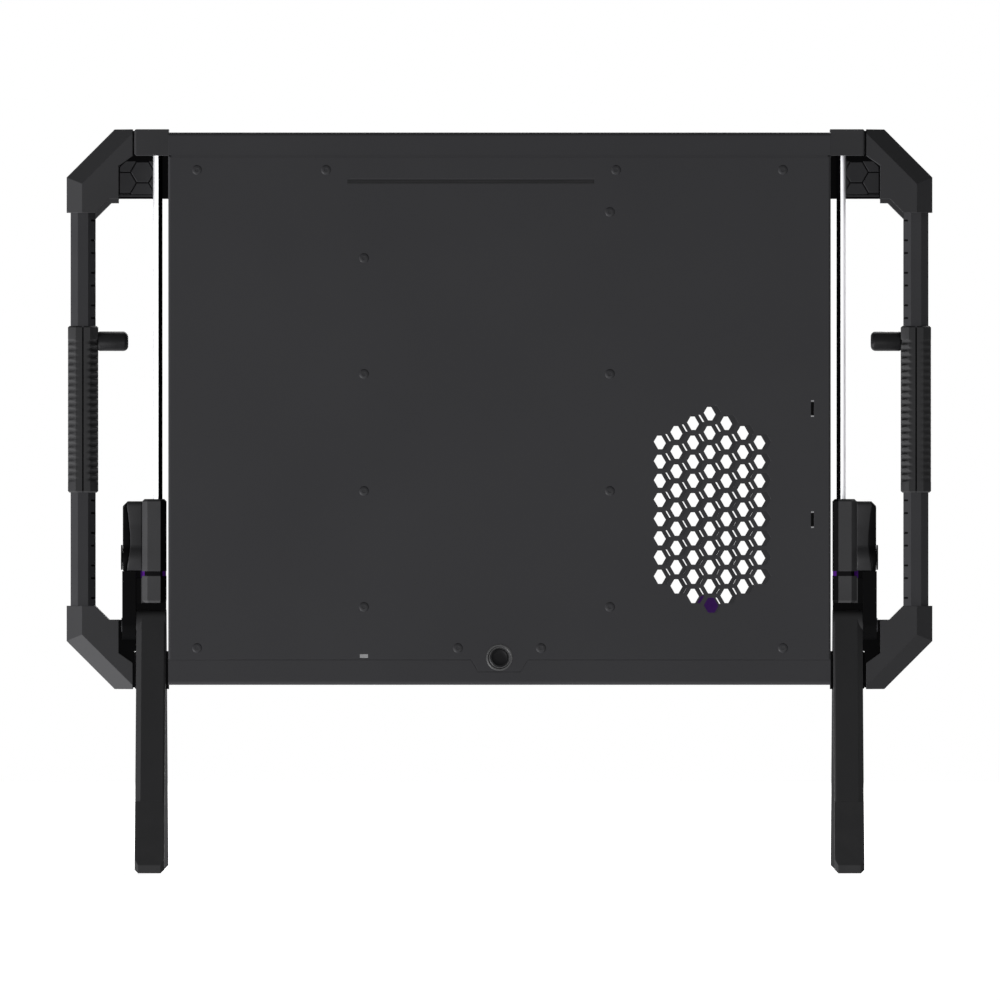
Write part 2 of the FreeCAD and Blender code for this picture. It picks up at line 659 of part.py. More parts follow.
pair("upper_elbow", cut(fuse(elbow(), elbowLip()), *elbowSocket()))
pair("lower_elbow", cut(mirror(elbow(), "z", handleMid), *elbowSocket()))


def handleBolt(spot):
    head = doc.addObject("Part::Prism", "BoltHead")
    head.Polygon = 6
    head.Placement = FreeCAD.Placement(FreeCAD.Vector(), AXIS_TURNS["x"])
    bind(head, Circumradius="boltHeadAcross / sqrt(3)", Height="boltHead")
    return fuse(boltShank(spot), place(head, out("-sheetWall"), *spot))


bolts = doc.addObject("Part::Compound", "Bolts")
bolts.Links = [handleBolt(spot) for spot in boltSpots]
pair("handle_bolts", bolts)

# Gussets beside the elbows, each with a thin spacer that fills the gap between an elbow and its end block
gusset = block(
    (out("elbowWaist"), "gussetOffset", f"{handleTop} - blockHeight - gussetDrop"),
    (out("0"), "gussetOffset + gussetWall", f"{handleTop} - blockHeight"),
)
elbowFill = newBody()
pad(elbowFill, profile(elbowFill, "XZ", elbowCorners), "elbowDepth", both=True)
spacer = block(
    (elbowEnd, "spacerInset - upperBlockDepth / 2", f"{handleTop} - blockHeight"),
    (out("blockWidth"), "upperBlockDepth / 2 - spacerInset", f"{handleTop} - spacerInset"),
)
upperPlate = fuse(cut(gusset, elbowFill), spacer)
pair("corner_gusset", cut(upperPlate, *[boltShank(spot) for spot in boltSpots[:2]]))
lowerGusset = block(
    (out("elbowWaist"), "-lowerGussetWall / 2", f"{handleLow} + blockHeight"),
    (out("blockWidth"), "lowerGussetWall / 2", f"{handleLow} + elbowThroat"),
)
lowerInner = block(
    (out("blockWidth"), "-lowerGussetWall / 2", f"{handleLow} + lowerBlockHeight"),
    (out("blockWidth - lowerGussetReach"), "lowerGussetWall / 2", f"{handleLow} + elbowThroat"),
)
lowerSpacer = block(
    (elbowEnd, "spacerInset - lowerBlockDepth / 2", f"{handleLow} + spacerInset"),
    (out("blockWidth"), "lowerBlockDepth / 2 - spacerInset", f"{handleLow} + blockHeight"),
)
lowerPlate = fuse(cut(lowerGusset, mirror(elbowFill, "z", handleMid)), lowerInner, lowerSpacer)
pair("lower_gusset", cut(lowerPlate, *[boltShank(spot) for spot in boltSpots[2:]]))

# Grip: two half shells round the tube
gripLow = f"({handleMid} - gripLength / 2)"


def gripHalf(outer):
    sign = "-" if outer else "+"
    body = newBody()
    flank = f"{tubeX} {sign} gripWidth / 2"
    shoulder = f"{tubeX} {sign} (gripWidth / 2 - gripBevel)"
    half = "gripDepth / 2"
    corners = [
        (tubeX, f"-{half}"), (shoulder, f"-{half}"), (flank, f"-{half} + gripBevel"),
        (flank, f"{half} - gripBevel"), (shoulder, half), (tubeX, half),
    ]
    pad(body, profile(body, "XY", corners), "gripLength")
    for end in ("0", "gripLength"):
        ease(body, "Chamfer", "gripEndBevel", lambda p: near(p.z, end) and not near(p.x, tubeX))
    place(body, z=gripLow)
    return cut(body, tubeCore()) if outer else cut(body, tubeCore(), stemWay())


pair("grip_outer_half", gripHalf(True))
pair("grip_inner_half", gripHalf(False))

# Pull knob of the sprung plunger on the grip
knobStart = f"({gripFace} + knobGap)"
knob = rod("x", (knobStart, "0", plungerZ), "knobLength - knobTaper", "knobRadius")
knobEnd = doc.addObject("Part::Cone", "KnobEnd")
knobEnd.Placement = FreeCAD.Placement(FreeCAD.Vector(), AXIS_TURNS["x"])
bind(knobEnd, Radius1="knobRadius", Radius2="knobTip", Height="knobTaper")
place(knobEnd, f"{knobStart} + knobLength - knobTaper", "0", plungerZ)
stem = rod("x", (stemStart, "0", plungerZ), "stemReach", "stemRadius")
pair("grip_plunger", fuse(knob, knobEnd, stem))

# Carriage: clamp block, washer and hinge bracket on the guide rod
carriageIn, carriageOut = out("carriageGap"), out("carriageGap + carriageWidth")


def carriageBlock(low, height, inset="0", easedEnd=None):
    """An eight-sided block across the rod; the edges of one end may be eased."""
    body = newBody()
    bevel = "carriageBevel"
    x0, x1 = f"({carriageOut} + {inset})", f"({carriageIn} - {inset})"
    half = f"(carriageDepth / 2 - {inset})"
    corners = [
        (f"{x0} + {bevel}", f"-{half}"), (f"{x1} - {bevel}", f"-{half}"), (x1, f"-{half} + {bevel}"),
        (x1, f"{half} - {bevel}"), (f"{x1} - {bevel}", half), (f"{x0} + {bevel}", half),
        (x0, f"{half} - {bevel}"), (x0, f"-{half} + {bevel}"),
    ]
    pad(body, profile(body, "XY", corners), height)
    if easedEnd:
        ease(body, "Chamfer", "jawBevel", lambda p: near(p.z, easedEnd))
    return place(body, z=low)


def rodWay():
    start = (rodX, "0", f"{carriageBase} - jawHeight")
    return rod("z", start, "2 * jawHeight + 2 * washerHeight + 2 * clampHeight", "rodRadius + runClear")


leverIn = f"({carriageOut} - leverGap)"
leverOut = f"({leverIn} - leverWidth)"


def clampShank():
    """The clamp's bolt, from under its head into the block."""
    start = (f"{leverOut} - leverGap", "-leverOffset", leverHeight)
    return rod("x", start, "leverWidth + 2 * leverGap + clampBoltBite", "clampBolt")


pair("clamp_block", cut(carriageBlock(clampLow, "clampHeight", easedEnd="clampHeight"), rodWay(), clampShank()))
pair("clamp_washer", cut(carriageBlock(washerLow, "washerHeight", "washerInset"), rodWay()))
clampHead = rod(
    "x", (f"{leverOut} - leverGap - clampHeadThick", "-leverOffset", leverHeight), "clampHeadThick", "clampHead"
)
pair("clamp_bolt", fuse(clampHead, clampShank()))

# Hinge bracket: the lower block, two lugs that carry the legs, a web between them and a stop for the lever
lugIn = out("carriageGap + legWidth + lugGap")
lugOut = f"({lugIn} - lugThick)"


def legPin(side):
    y = f"{side} * pivotOffset"
    shank = rod("x", (lugOut, y, "pivotHeight"), "lugThick + lugGap + legWidth", "pinRadius")
    head = rod("x", (f"{lugOut} - pinHead", y, "pivotHeight"), "pinHead", "pinHeadRadius")
    return fuse(shank, head)


def lug(side):
    """An upright lug with a round lower end about the leg's pivot."""
    y = f"{side} * pivotOffset"
    upright = block(
        (lugOut, f"{y} - knuckleRadius", "pivotHeight"), (lugIn, f"{y} + knuckleRadius", f"{washerLow} + lugRise")
    )
    foot = rod("x", (lugOut, y, "pivotHeight"), "lugThick", "knuckleRadius")
    return fuse(upright, foot)


bridge = block(
    (f"{lugIn} - bridgeThick", "-carriageDepth / 2 + carriageBevel", f"{bridgeTop} - bridgeHeight"),
    (f"{carriageOut} + carriageBevel", "carriageDepth / 2 - carriageBevel", bridgeTop),
)
webHalf = "(pivotOffset - knuckleRadius - webClear)"
web = block(
    (lugIn, f"-{webHalf}", f"{carriageBase} - webDrop"), (carriageIn, webHalf, f"{carriageBase} + jawBevel")
)
stopStart = "(leverHub + stopClear - leverOffset)"
leverStop = block(
    (f"{lugIn} - bridgeThick", stopStart, f"{bridgeTop} - stopRise"),
    (f"{carriageOut} - stopGap", f"{stopStart} + stopDepth", f"{bridgeTop} + stopRise"),
)
jaw = carriageBlock(carriageBase, "jawHeight", easedEnd="0")
bracket = fuse(jaw, bridge, web, leverStop, lug(-1), lug(1))
pair("hinge_bracket", cut(bracket, rodWay(), legPin(-1), legPin(1)))
pins = doc.addObject("Part::Compound", "Pins")
pins.Links = [legPin(-1), legPin(1)]
pair("leg_pins", pins)

# Clamp lever: a hub on the bolt and an arm that stands up beside the block
lever = newBody()
armHalf = "(leverArm / 2)"
armCorners = [
    (f"-{armHalf}", "0"), (armHalf, "0"), (armHalf, "leverReach - leverBevel"),
    (f"{armHalf} - leverBevel", "leverReach"), (f"-{armHalf} + leverBevel", "leverReach"),
    (f"-{armHalf}", "leverReach - leverBevel"),
]
pad(lever, profile(lever, "YZ", armCorners), "leverWidth")
pad(lever, ring(lever, "YZ", ("0", "0"), "leverHub"), "leverWidth")
ease(
    lever, "Chamfer", "leverBevel",
    lambda p: near(p.x, "0") and near(p.z, "leverReach"),
)
pocket(lever, ring(lever, "YZ", ("0", "0"), "clampBolt + runClear"), "3 * leverWidth")
place(lever, leverOut, "-leverOffset", leverHeight)
pair("clamp_lever", lever)

# Back leg, drawn upright about its pivot and then swung out; the front leg is its mirror image
legX = out("carriageGap + legWidth / 2")
legShank = "(pivotHeight / cos(legSplay) - bootReach)"
legRear, legFore = "(-knuckleRadius)", "(legThick - knuckleRadius)"
legTurn = FreeCAD.Rotation(FreeCAD.Vector(1, 0, 0), -number("legSplay"))


def swing(body):
    """The body at the back pivot, with the leg's foot swung to the back."""
    body.Placement = FreeCAD.Placement(FreeCAD.Vector(), legTurn)
    return place(body, legX, "-pivotOffset", "pivotHeight")


def tenon():
    body = newBody()
    x, rear, fore = "(legWidth / 2 - tenonInset)", f"{legRear} + tenonInset", f"{legFore} - tenonInset"
    corners = [(f"-{x}", rear), (x, rear), (x, fore), (f"-{x}", fore)]
    pad(body, profile(body, "XY", corners), f"{legShank} + tenonLength", back=True)
    return swing(body)


def shank():
    body = newBody()
    x = "(legWidth / 2)"
    section = [
        (f"-{x} + legBevel", legRear), (f"{x} - legBevel / 3", legRear), (x, f"{legRear} + legBevel / 3"),
        (x, legFore), (f"-{x}", legFore), (f"-{x}", f"{legRear} + legBevel"),
    ]
    pad(body, profile(body, "XY", section), legShank, back=True)
    pad(body, ring(body, "YZ", ("0", "0"), "knuckleRadius"), "legWidth", both=True)
    return swing(body)


def pivotHole():
    start = (out("carriageGap + legWidth"), "-pivotOffset", "pivotHeight")
    return rod("x", start, "legWidth", "pinRadius + runClear")


def boot():
    """The rubber foot, cut level where it stands on the ground."""
    body = newBody()
    back = f"((pivotHeight - {legRear} * sin(legSplay)) / cos(legSplay))"
    front = f"((pivotHeight - {legFore} * sin(legSplay)) / cos(legSplay))"
    toe = f"({back} - bootToe)"
    toeIn = f"({legRear} + bootToe * sin(legSplay) * cos(legSplay))"
    toeLow = f"({back} - bootToe * sin(legSplay) * sin(legSplay))"
    side = [
        (legRear, f"-{legShank}"), (legFore, f"-{legShank}"), (legFore, f"-{front}"),
        (toeIn, f"-{toeLow}"), (legRear, f"-{toe}"),
    ]
    pad(body, profile(body, "YZ", side), "legWidth", both=True)
    for flank in ("legWidth / 2", "-legWidth / 2"):
        ease(
            body, "Chamfer", "bootBevel",
            lambda p: near(p.x, flank) and p.z < -number(f"{legShank} + tenonLength"),
        )
    return swing(body)


rearLeg = cut(fuse(shank(), tenon()), pivotHole())
rearBoot = cut(boot(), tenon())
pair("rear_leg", rearLeg)
pair("rear_boot", rearBoot)
pair("front_leg", mirror(rearLeg, "y"))
pair("front_boot", mirror(rearBoot, "y"))

doc.recompute()
for item in doc.Objects:
    faults = {"Invalid", "Error"} & set(item.State)
    if faults:
        raise RuntimeError("%s (%s): %s" % (item.Label, item.TypeId, item.State))
for name, item in NODES.items():
    if item.Shape.isNull() or not item.Shape.isValid() or not item.Shape.Solids:
        raise RuntimeError("no sound solid in " + name)

os.makedirs("parts", exist_ok=True)
for name, item in NODES.items():
    item.Shape.exportStep("parts/%s.step" % name)
    box = item.Shape.BoundBox
    spans = (box.XMin, box.XMax, box.YMin, box.YMax, box.ZMin, box.ZMax)
    print("%-20s %d solids, x %.1f %.1f, y %.1f %.1f, z %.1f %.1f" % (name, len(item.Shape.Solids), *spans))
print(len(NODES), "nodes")
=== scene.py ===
import math
import bmesh
import bpy
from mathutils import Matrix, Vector


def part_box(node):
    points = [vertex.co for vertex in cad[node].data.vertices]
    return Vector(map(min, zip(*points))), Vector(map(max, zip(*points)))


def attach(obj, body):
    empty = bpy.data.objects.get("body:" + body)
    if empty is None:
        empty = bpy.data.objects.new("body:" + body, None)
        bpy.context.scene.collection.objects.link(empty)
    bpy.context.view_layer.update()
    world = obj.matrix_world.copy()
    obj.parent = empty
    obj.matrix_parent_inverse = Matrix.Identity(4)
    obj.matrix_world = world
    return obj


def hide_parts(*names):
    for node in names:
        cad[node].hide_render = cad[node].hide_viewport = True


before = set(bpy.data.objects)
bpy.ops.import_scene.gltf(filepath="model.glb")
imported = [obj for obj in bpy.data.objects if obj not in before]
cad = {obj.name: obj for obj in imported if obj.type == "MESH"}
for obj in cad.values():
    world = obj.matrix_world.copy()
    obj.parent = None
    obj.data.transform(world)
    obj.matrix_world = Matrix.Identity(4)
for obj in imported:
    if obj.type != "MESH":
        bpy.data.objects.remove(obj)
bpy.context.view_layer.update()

scene = bpy.context.scene
mm = 0.001
sides = {"left": 1, "right": -1}  # shapes are drawn on the left and mirrored in X for the right
print("frame:", len(cad), "nodes")


# finishes: every tone, roughness and relief comes from noise on Object coordinates
def noiseTexture(tree, vector, scale, detail):
    texture = tree.nodes.new("ShaderNodeTexNoise")
    texture.inputs["Scale"].default_value = scale
    texture.inputs["Detail"].default_value = detail
    tree.links.new(vector, texture.inputs["Vector"])
    return texture.outputs["Fac"]


def spread(tree, value, low, high, start=0.3, end=0.7):
    # stretches the middle of a noise over a range
    node = tree.nodes.new("ShaderNodeMapRange")
    for label, number in (("From Min", start), ("From Max", end), ("To Min", low), ("To Max", high)):
        node.inputs[label].default_value = number
    tree.links.new(value, node.inputs["Value"])
    return node.outputs["Result"]


def blendTones(tree, factor, first, second):
    node = tree.nodes.new("ShaderNodeMix")
    node.data_type = "RGBA"
    tree.links.new(factor, node.inputs["Factor"])
    for socket, tone in ((node.inputs["A"], first), (node.inputs["B"], second)):
        if isinstance(tone, tuple):
            socket.default_value = (*tone, 1)
        else:
            tree.links.new(tone, socket)
    return node.outputs["Result"]


def softEdge(tree, radius):
    node = tree.nodes.new("ShaderNodeBevel")
    node.samples = 6
    node.inputs["Radius"].default_value = radius
    return node.outputs["Normal"]


def edgeMask(tree, bevelled):
    # 1 along the edges of a piece, 0 on its faces
    geometry = tree.nodes.new("ShaderNodeNewGeometry")
    turn = tree.nodes.new("ShaderNodeVectorMath")
    turn.operation = "DOT_PRODUCT"
    tree.links.new(geometry.outputs["Normal"], turn.inputs[0])
    tree.links.new(bevelled, turn.inputs[1])
    return spread(tree, turn.outputs["Value"], 1, 0, 0.75, 1)


def zoneMask(tree, coords, zone):
    # 1 between two distances from the middle of the case and higher than a level, 0 elsewhere
    place = tree.nodes.new("ShaderNodeSeparateXYZ")
    tree.links.new(coords, place.inputs["Vector"])
    away = tree.nodes.new("ShaderNodeMath")
    away.operation = "ABSOLUTE"
    tree.links.new(place.outputs["X"], away.inputs[0])
    mask = None
    tests = (
        (away.outputs["Value"], "GREATER_THAN", zone["near"]), (away.outputs["Value"], "LESS_THAN", zone["far"]),
        (place.outputs["Z"], "GREATER_THAN", zone["above"]),
    )
    for value, operation, limit in tests:
        test = tree.nodes.new("ShaderNodeMath")
        test.operation = operation
        test.inputs[1].default_value = limit
        tree.links.new(value, test.inputs[0])
        if mask:
            both = tree.nodes.new("ShaderNodeMath")
            both.operation = "MULTIPLY"
            tree.links.new(mask, both.inputs[0])
            tree.links.new(test.outputs["Value"], both.inputs[1])
            test = both
        mask = test.outputs["Value"]
    return mask


speckleShare = 0.5  # of a tone's variation, the rest is cloud


def makeFinish(name, look):
    material = bpy.data.materials.new(name)
    material.use_nodes = True
    tree = material.node_tree
    shader = tree.nodes["Principled BSDF"]
    coords = tree.nodes.new("ShaderNodeTexCoord")
    stretch = tree.nodes.new("ShaderNodeMapping")
    stretch.inputs["Scale"].default_value = look.get("stretch", (1, 1, 1))
    tree.links.new(coords.outputs["Object"], stretch.inputs["Vector"])
    cloud = noiseTexture(tree, coords.outputs["Object"], look["cloud"], 3)
    grain = noiseTexture(tree, stretch.outputs["Vector"], look["grain"], 2)
    speckle = tree.nodes.new("ShaderNodeMath")
    speckle.operation = "MULTIPLY_ADD"
    speckle.inputs[1].default_value = speckleShare
    tree.links.new(grain, speckle.inputs[0])
    tree.links.new(spread(tree, cloud, 0, 1 - speckleShare), speckle.inputs[2])
    tone = blendTones(tree, speckle.outputs["Value"], *look["tones"])
    if "zone" in look:
        zoneTone = blendTones(tree, speckle.outputs["Value"], *look["zone"]["tones"])
        tone = blendTones(tree, zoneMask(tree, coords.outputs["Object"], look["zone"]), tone, zoneTone)
    bump = tree.nodes.new("ShaderNodeBump")
    bump.inputs["Strength"].default_value = look.get("relief", 0.25)
    bump.inputs["Distance"].default_value = look["depth"]
    tree.links.new(grain, bump.inputs["Height"])
    if "edge" in look:
        bevelled = softEdge(tree, look["edge"])
        tree.links.new(bevelled, bump.inputs["Normal"])
        if "worn" in look:
            tone = blendTones(tree, edgeMask(tree, bevelled), tone, look["worn"])
    tree.links.new(tone, shader.inputs["Base Color"])
    tree.links.new(spread(tree, grain, *look["roughness"]), shader.inputs["Roughness"])
    tree.links.new(bump.outputs["Normal"], shader.inputs["Normal"])
    for label, number in look["fixed"].items():
        shader.inputs[label].default_value = number
    if "glow" in look:
        tree.links.new(tone, shader.inputs["Emission Color"])
        shader.inputs["Emission Strength"].default_value = look["glow"]
    return material


looks = {
    "casePaint": {
        "tones": ((0.0245, 0.0245, 0.0265), (0.0295, 0.0295, 0.0315)), "worn": (0.036, 0.036, 0.038), "edge": 0.0005,
        "cloud": 9, "grain": 1500, "roughness": (0.48, 0.58), "depth": 0.00004,
        "fixed": {"Specular IOR Level": 0.06},
    },
    # a little darker than the case paint: painted shade for the seam under the top rail
    "seamPaint": {
        "tones": ((0.0225, 0.0225, 0.0244), (0.0272, 0.0272, 0.029)),
        "cloud": 9, "grain": 1500, "roughness": (0.48, 0.58), "depth": 0.00004,
        "fixed": {"Specular IOR Level": 0.06},
    },
    "handlePaint": {
        "tones": ((0.0245, 0.0245, 0.0255), (0.0295, 0.0295, 0.0315)), "worn": (0.036, 0.036, 0.038), "edge": 0.0006,
        "cloud": 20, "grain": 1500, "roughness": (0.54, 0.64), "depth": 0.00004,
        "fixed": {"Specular IOR Level": 0.06},
    },
    "tubeAnodised": {
        "tones": ((0.022, 0.022, 0.024), (0.028, 0.028, 0.03)), "worn": (0.04, 0.04, 0.043), "edge": 0.0004,
        "cloud": 30, "grain": 900, "stretch": (1, 1, 0.03), "roughness": (0.42, 0.56), "depth": 0.00003,
        "fixed": {"Specular IOR Level": 0.07},
    },
    "gripPlastic": {
        "tones": ((0.0222, 0.0222, 0.0232), (0.028, 0.028, 0.029)),
        "cloud": 40, "grain": 1900, "roughness": (0.55, 0.7), "depth": 0.00008,
        "fixed": {"Specular IOR Level": 0.05},
    },
    "knobGloss": {
        "tones": ((0.007, 0.007, 0.0076), (0.011, 0.011, 0.0116)),
        "cloud": 60, "grain": 500, "roughness": (0.3, 0.38), "relief": 0.04, "depth": 0.00003,
        "fixed": {"Specular IOR Level": 0.06},
    },
    "rodChrome": {  # polished; its side towards the case is black, a painted reflection of the dark case
        "tones": ((0.001, 0.001, 0.0012), (0.003, 0.003, 0.0034)),
        "zone": {"tones": ((0.8, 0.8, 0.82), (0.84, 0.84, 0.86)), "near": 0.2188, "far": 0.25, "above": 0},
        "cloud": 25, "grain": 1200, "stretch": (1, 1, 0.02), "roughness": (0.46, 0.54), "relief": 0.03,
        "depth": 0.00002, "fixed": {"Metallic": 1.0, "Specular Tint": (0.35, 0.35, 0.36, 1)},
    },
    "boltSteel": {
        "tones": ((0.019, 0.019, 0.0205), (0.026, 0.026, 0.028)), "worn": (0.034, 0.034, 0.036), "edge": 0.0003,
        "cloud": 120, "grain": 2200, "roughness": (0.3, 0.45), "depth": 0.00003,
        "fixed": {"Specular IOR Level": 0.08},
    },
    "clampCasting": {  # grey block; black on its side towards the case as painted shade
        "tones": ((0.0008, 0.0008, 0.0009), (0.0018, 0.0018, 0.002)), "edge": 0.0005,
        "zone": {
            "tones": ((0.033, 0.033, 0.034), (0.042, 0.042, 0.044)), "near": 0.2172, "far": 0.25, "above": 0,
        },
        "cloud": 45, "grain": 1300, "roughness": (0.5, 0.6), "depth": 0.00006,
        "fixed": {"Specular IOR Level": 0.04},
    },
    "violetWasher": {  # violet edges, black between them as painted shade
        "tones": ((0.03, 0.003, 0.08), (0.046, 0.006, 0.12)),
        "zone": {
            "tones": ((0.0006, 0.0005, 0.0008), (0.0014, 0.0012, 0.0018)), "near": 0.2159, "far": 0.2274, "above": 0,
        },
        "cloud": 60, "grain": 1100, "roughness": (0.4, 0.55), "depth": 0.00004,
        "fixed": {"Specular IOR Level": 0.04},
    },
    "violetTab": {
        "tones": ((0.016, 0.0025, 0.045), (0.026, 0.004, 0.07)),
        "cloud": 60, "grain": 1100, "roughness": (0.45, 0.6), "depth": 0.00004,
        "fixed": {"Specular IOR Level": 0.03},
    },
    # near black; on the lower gussets, the corner gusset bases and the grip seams this black is painted shade
    "bracketNylon": {
        "tones": ((0.0006, 0.0006, 0.0007), (0.0014, 0.0014, 0.0016)), "worn": (0.002, 0.002, 0.0022), "edge": 0.0005,
        "cloud": 50, "grain": 1700, "roughness": (0.5, 0.65), "depth": 0.00008,
        "fixed": {"Specular IOR Level": 0.02},
    },
    "bracketCasting": {  # grey block on the rod, black lugs and bridge outside it; the black on its side towards the case is painted shade
        "tones": ((0.0006, 0.0006, 0.0007), (0.0014, 0.0014, 0.0016)), "edge": 0.0005,
        "zone": {
            "tones": ((0.036, 0.036, 0.037), (0.045, 0.045, 0.047)), "near": 0.2172, "far": 0.2296, "above": 0.1721,
        },
        "cloud": 50, "grain": 1500, "roughness": (0.5, 0.65), "depth": 0.00006,
        "fixed": {"Specular IOR Level": 0.025},
    },
    # a tone darker than the handle paint: painted shade under the end blocks
    "gussetPlastic": {
        "tones": ((0.0165, 0.0165, 0.0178), (0.0215, 0.0215, 0.0228)),
        "cloud": 70, "grain": 1700, "roughness": (0.5, 0.65), "depth": 0.00006,
        "fixed": {"Specular IOR Level": 0.05},
    },
    "leverGrey": {
        "tones": ((0.016, 0.016, 0.017), (0.021, 0.021, 0.022)),
        "cloud": 60, "grain": 1500, "roughness": (0.45, 0.58), "depth": 0.00005,
        "fixed": {"Specular IOR Level": 0.06},
    },
    # black; the lever bands' own colour, and painted shade in the tie slots and at the tube's slot ends
    "leverBand": {
        "tones": ((0.0008, 0.0008, 0.0009), (0.002, 0.002, 0.0022)),
        "cloud": 60, "grain": 2100, "roughness": (0.5, 0.65), "depth": 0.00008,
        "fixed": {"Specular IOR Level": 0.02},
    },
    "legAnodised": {
        "tones": ((0.0232, 0.0232, 0.0242), (0.03, 0.03, 0.031)), "worn": (0.037, 0.037, 0.039), "edge": 0.0006,
        "cloud": 22, "grain": 1000, "stretch": (1, 0.25, 0.04), "roughness": (0.5, 0.62), "depth": 0.00003,
        "fixed": {"Specular IOR Level": 0.05},
    },
    "bootRubber": {
        "tones": ((0.0245, 0.0245, 0.0255), (0.032, 0.032, 0.033)), "edge": 0.0006,
        "cloud": 80, "grain": 1400, "roughness": (0.6, 0.78), "relief": 0.4, "depth": 0.0001,
        "fixed": {"Specular IOR Level": 0.05},
    },
    "innerSteel": {
        "tones": ((0.013, 0.013, 0.0136), (0.019, 0.019, 0.0198)), "edge": 0.0003,
        "cloud": 40, "grain": 700, "stretch": (0.06, 1, 1), "roughness": (0.5, 0.6), "depth": 0.00003,
        "fixed": {"Specular IOR Level": 0.05},
    },
    "barAluminium": {
        "tones": ((0.05, 0.05, 0.052), (0.08, 0.08, 0.082)),
        "cloud": 40, "grain": 900, "stretch": (1, 1, 0.05), "roughness": (0.35, 0.5), "depth": 0.00003,
        "fixed": {"Metallic": 0.6},
    },
    # pale: painted glint in the small slot openings
    "plateZinc": {
        "tones": ((0.17, 0.17, 0.175), (0.24, 0.24, 0.245)),
        "cloud": 200, "grain": 1500, "roughness": (0.4, 0.55), "depth": 0.00003,
        "fixed": {"Specular IOR Level": 0.2},
    },
    "standoffBrass": {
        "tones": ((0.5, 0.33, 0.11), (0.62, 0.43, 0.16)),
        "cloud": 200, "grain": 1500, "roughness": (0.22, 0.36), "depth": 0.00003, "fixed": {"Metallic": 1.0},
    },
    "violetLens": {
        "tones": ((0.016, 0.003, 0.038), (0.026, 0.006, 0.06)),
        "cloud": 90, "grain": 600, "roughness": (0.45, 0.55), "depth": 0.00004, "glow": 0.3,
        "fixed": {"Specular IOR Level": 0.04},
    },
    "buttonBlack": {
        "tones": ((0.004, 0.004, 0.0044), (0.007, 0.007, 0.0075)),
        "cloud": 150, "grain": 1600, "roughness": (0.4, 0.52), "depth": 0.00004,
        "fixed": {"Specular IOR Level": 0.04},
    },
    "bezelAnodised": {
        "tones": ((0.02, 0.02, 0.021), (0.028, 0.028, 0.029)),
        "cloud": 150, "grain": 1600, "roughness": (0.2, 0.3), "depth": 0.00003,
        "fixed": {"Specular IOR Level": 0.45},
    },
}
finishes = {name: makeFinish(name, look) for name, look in looks.items()}

nodeFinishes = {
    "casePaint": ("top_rail", "bottom_rail", "left_side_wall", "right_side_wall", "rear_cover", "front_cover"),
    "innerSteel": ("io_plate", "expansion_bracket", "psu_bracket"),
    "barAluminium": ("left_board_rail", "right_board_rail"),
    "standoffBrass": ("board_standoffs",),
    "violetLens": ("status_lens",),
    "buttonBlack": ("power_button_cap",),
    "bezelAnodised": ("power_button_bezel",),
}
pairFinishes = {
    "handlePaint": ("upper_elbow", "lower_elbow", "upper_end_block"),
    "tubeAnodised": ("handle_tube",),
    "gripPlastic": ("grip_outer_half", "grip_inner_half"),
    "knobGloss": ("grip_plunger",),
    "rodChrome": ("guide_rod",),
    "boltSteel": ("handle_bolts", "leg_pins"),
    "leverBand": ("clamp_bolt",),
    "clampCasting": ("clamp_block",),
    "violetWasher": ("clamp_washer",),
    "bracketNylon": ("lower_end_block", "lower_gusset", "corner_gusset"),
    "bracketCasting": ("hinge_bracket",),
    "leverGrey": ("clamp_lever",),
    "legAnodised": ("rear_leg", "front_leg"),
    "bootRubber": ("rear_boot", "front_boot"),
}


def dress(node, finish):
    mesh = cad[node].data
    mesh.materials.clear()
    mesh.materials.append(finishes[finish])


for finish, names in nodeFinishes.items():
    for name in names:
        dress(name, finish)
for finish, names in pairFinishes.items():
    for name in names:
        for side in sides:
            dress(f"{side}_{name}", finish)
print("finishes:", len(finishes))


# helpers that turn a bmesh into a piece
def newPiece(name, build, finish, mirrored=False, angle=35):
    if mirrored:
        bmesh.ops.scale(build, vec=(-1, 1, 1), verts=build.verts)
    bmesh.ops.remove_doubles(build, verts=build.verts, dist=1e-6)
    bmesh.ops.recalc_face_normals(build, faces=build.faces)
    mesh = bpy.data.meshes.new(name)
    build.to_mesh(mesh)
    build.free()
    mesh.shade_smooth()
    mesh.set_sharp_from_angle(angle=math.radians(angle))
    mesh.materials.append(finishes[finish])
    piece = bpy.data.objects.new(name, mesh)
    scene.collection.objects.link(piece)
    return piece


def joinRings(build, rings):
    for first, second in zip(rings, rings[1:]):
        count = max(len(first), len(second))
        for n in range(count):
            corners = [
                first[n % len(first)], first[(n + 1) % len(first)],
                second[(n + 1) % len(second)], second[n % len(second)],
            ]
            corners = list(dict.fromkeys(corners))
            if len(corners) > 2:
                build.faces.new(corners)


def lathe(build, outline, axis, centre, steps):
    # outline: (along the axis, radius) in millimetres; a radius of 0 closes an end
    along = Vector([float(axis == name) for name in "xyz"])
    across = Vector([float(axis == name) for name in "zxy"])
    up = along.cross(across)
    rings = []
    for travel, radius in outline:
        middle = (Vector(centre) + along * travel) * mm
        turns = steps if radius else 1
        ring = []
        for n in range(turns):
            angle = 2 * math.pi * n / steps
            ring.append(build.verts.new(middle + (across * math.cos(angle) + up * math.sin(angle)) * radius * mm))
        rings.append(ring)
    joinRings(build, rings)
    return build


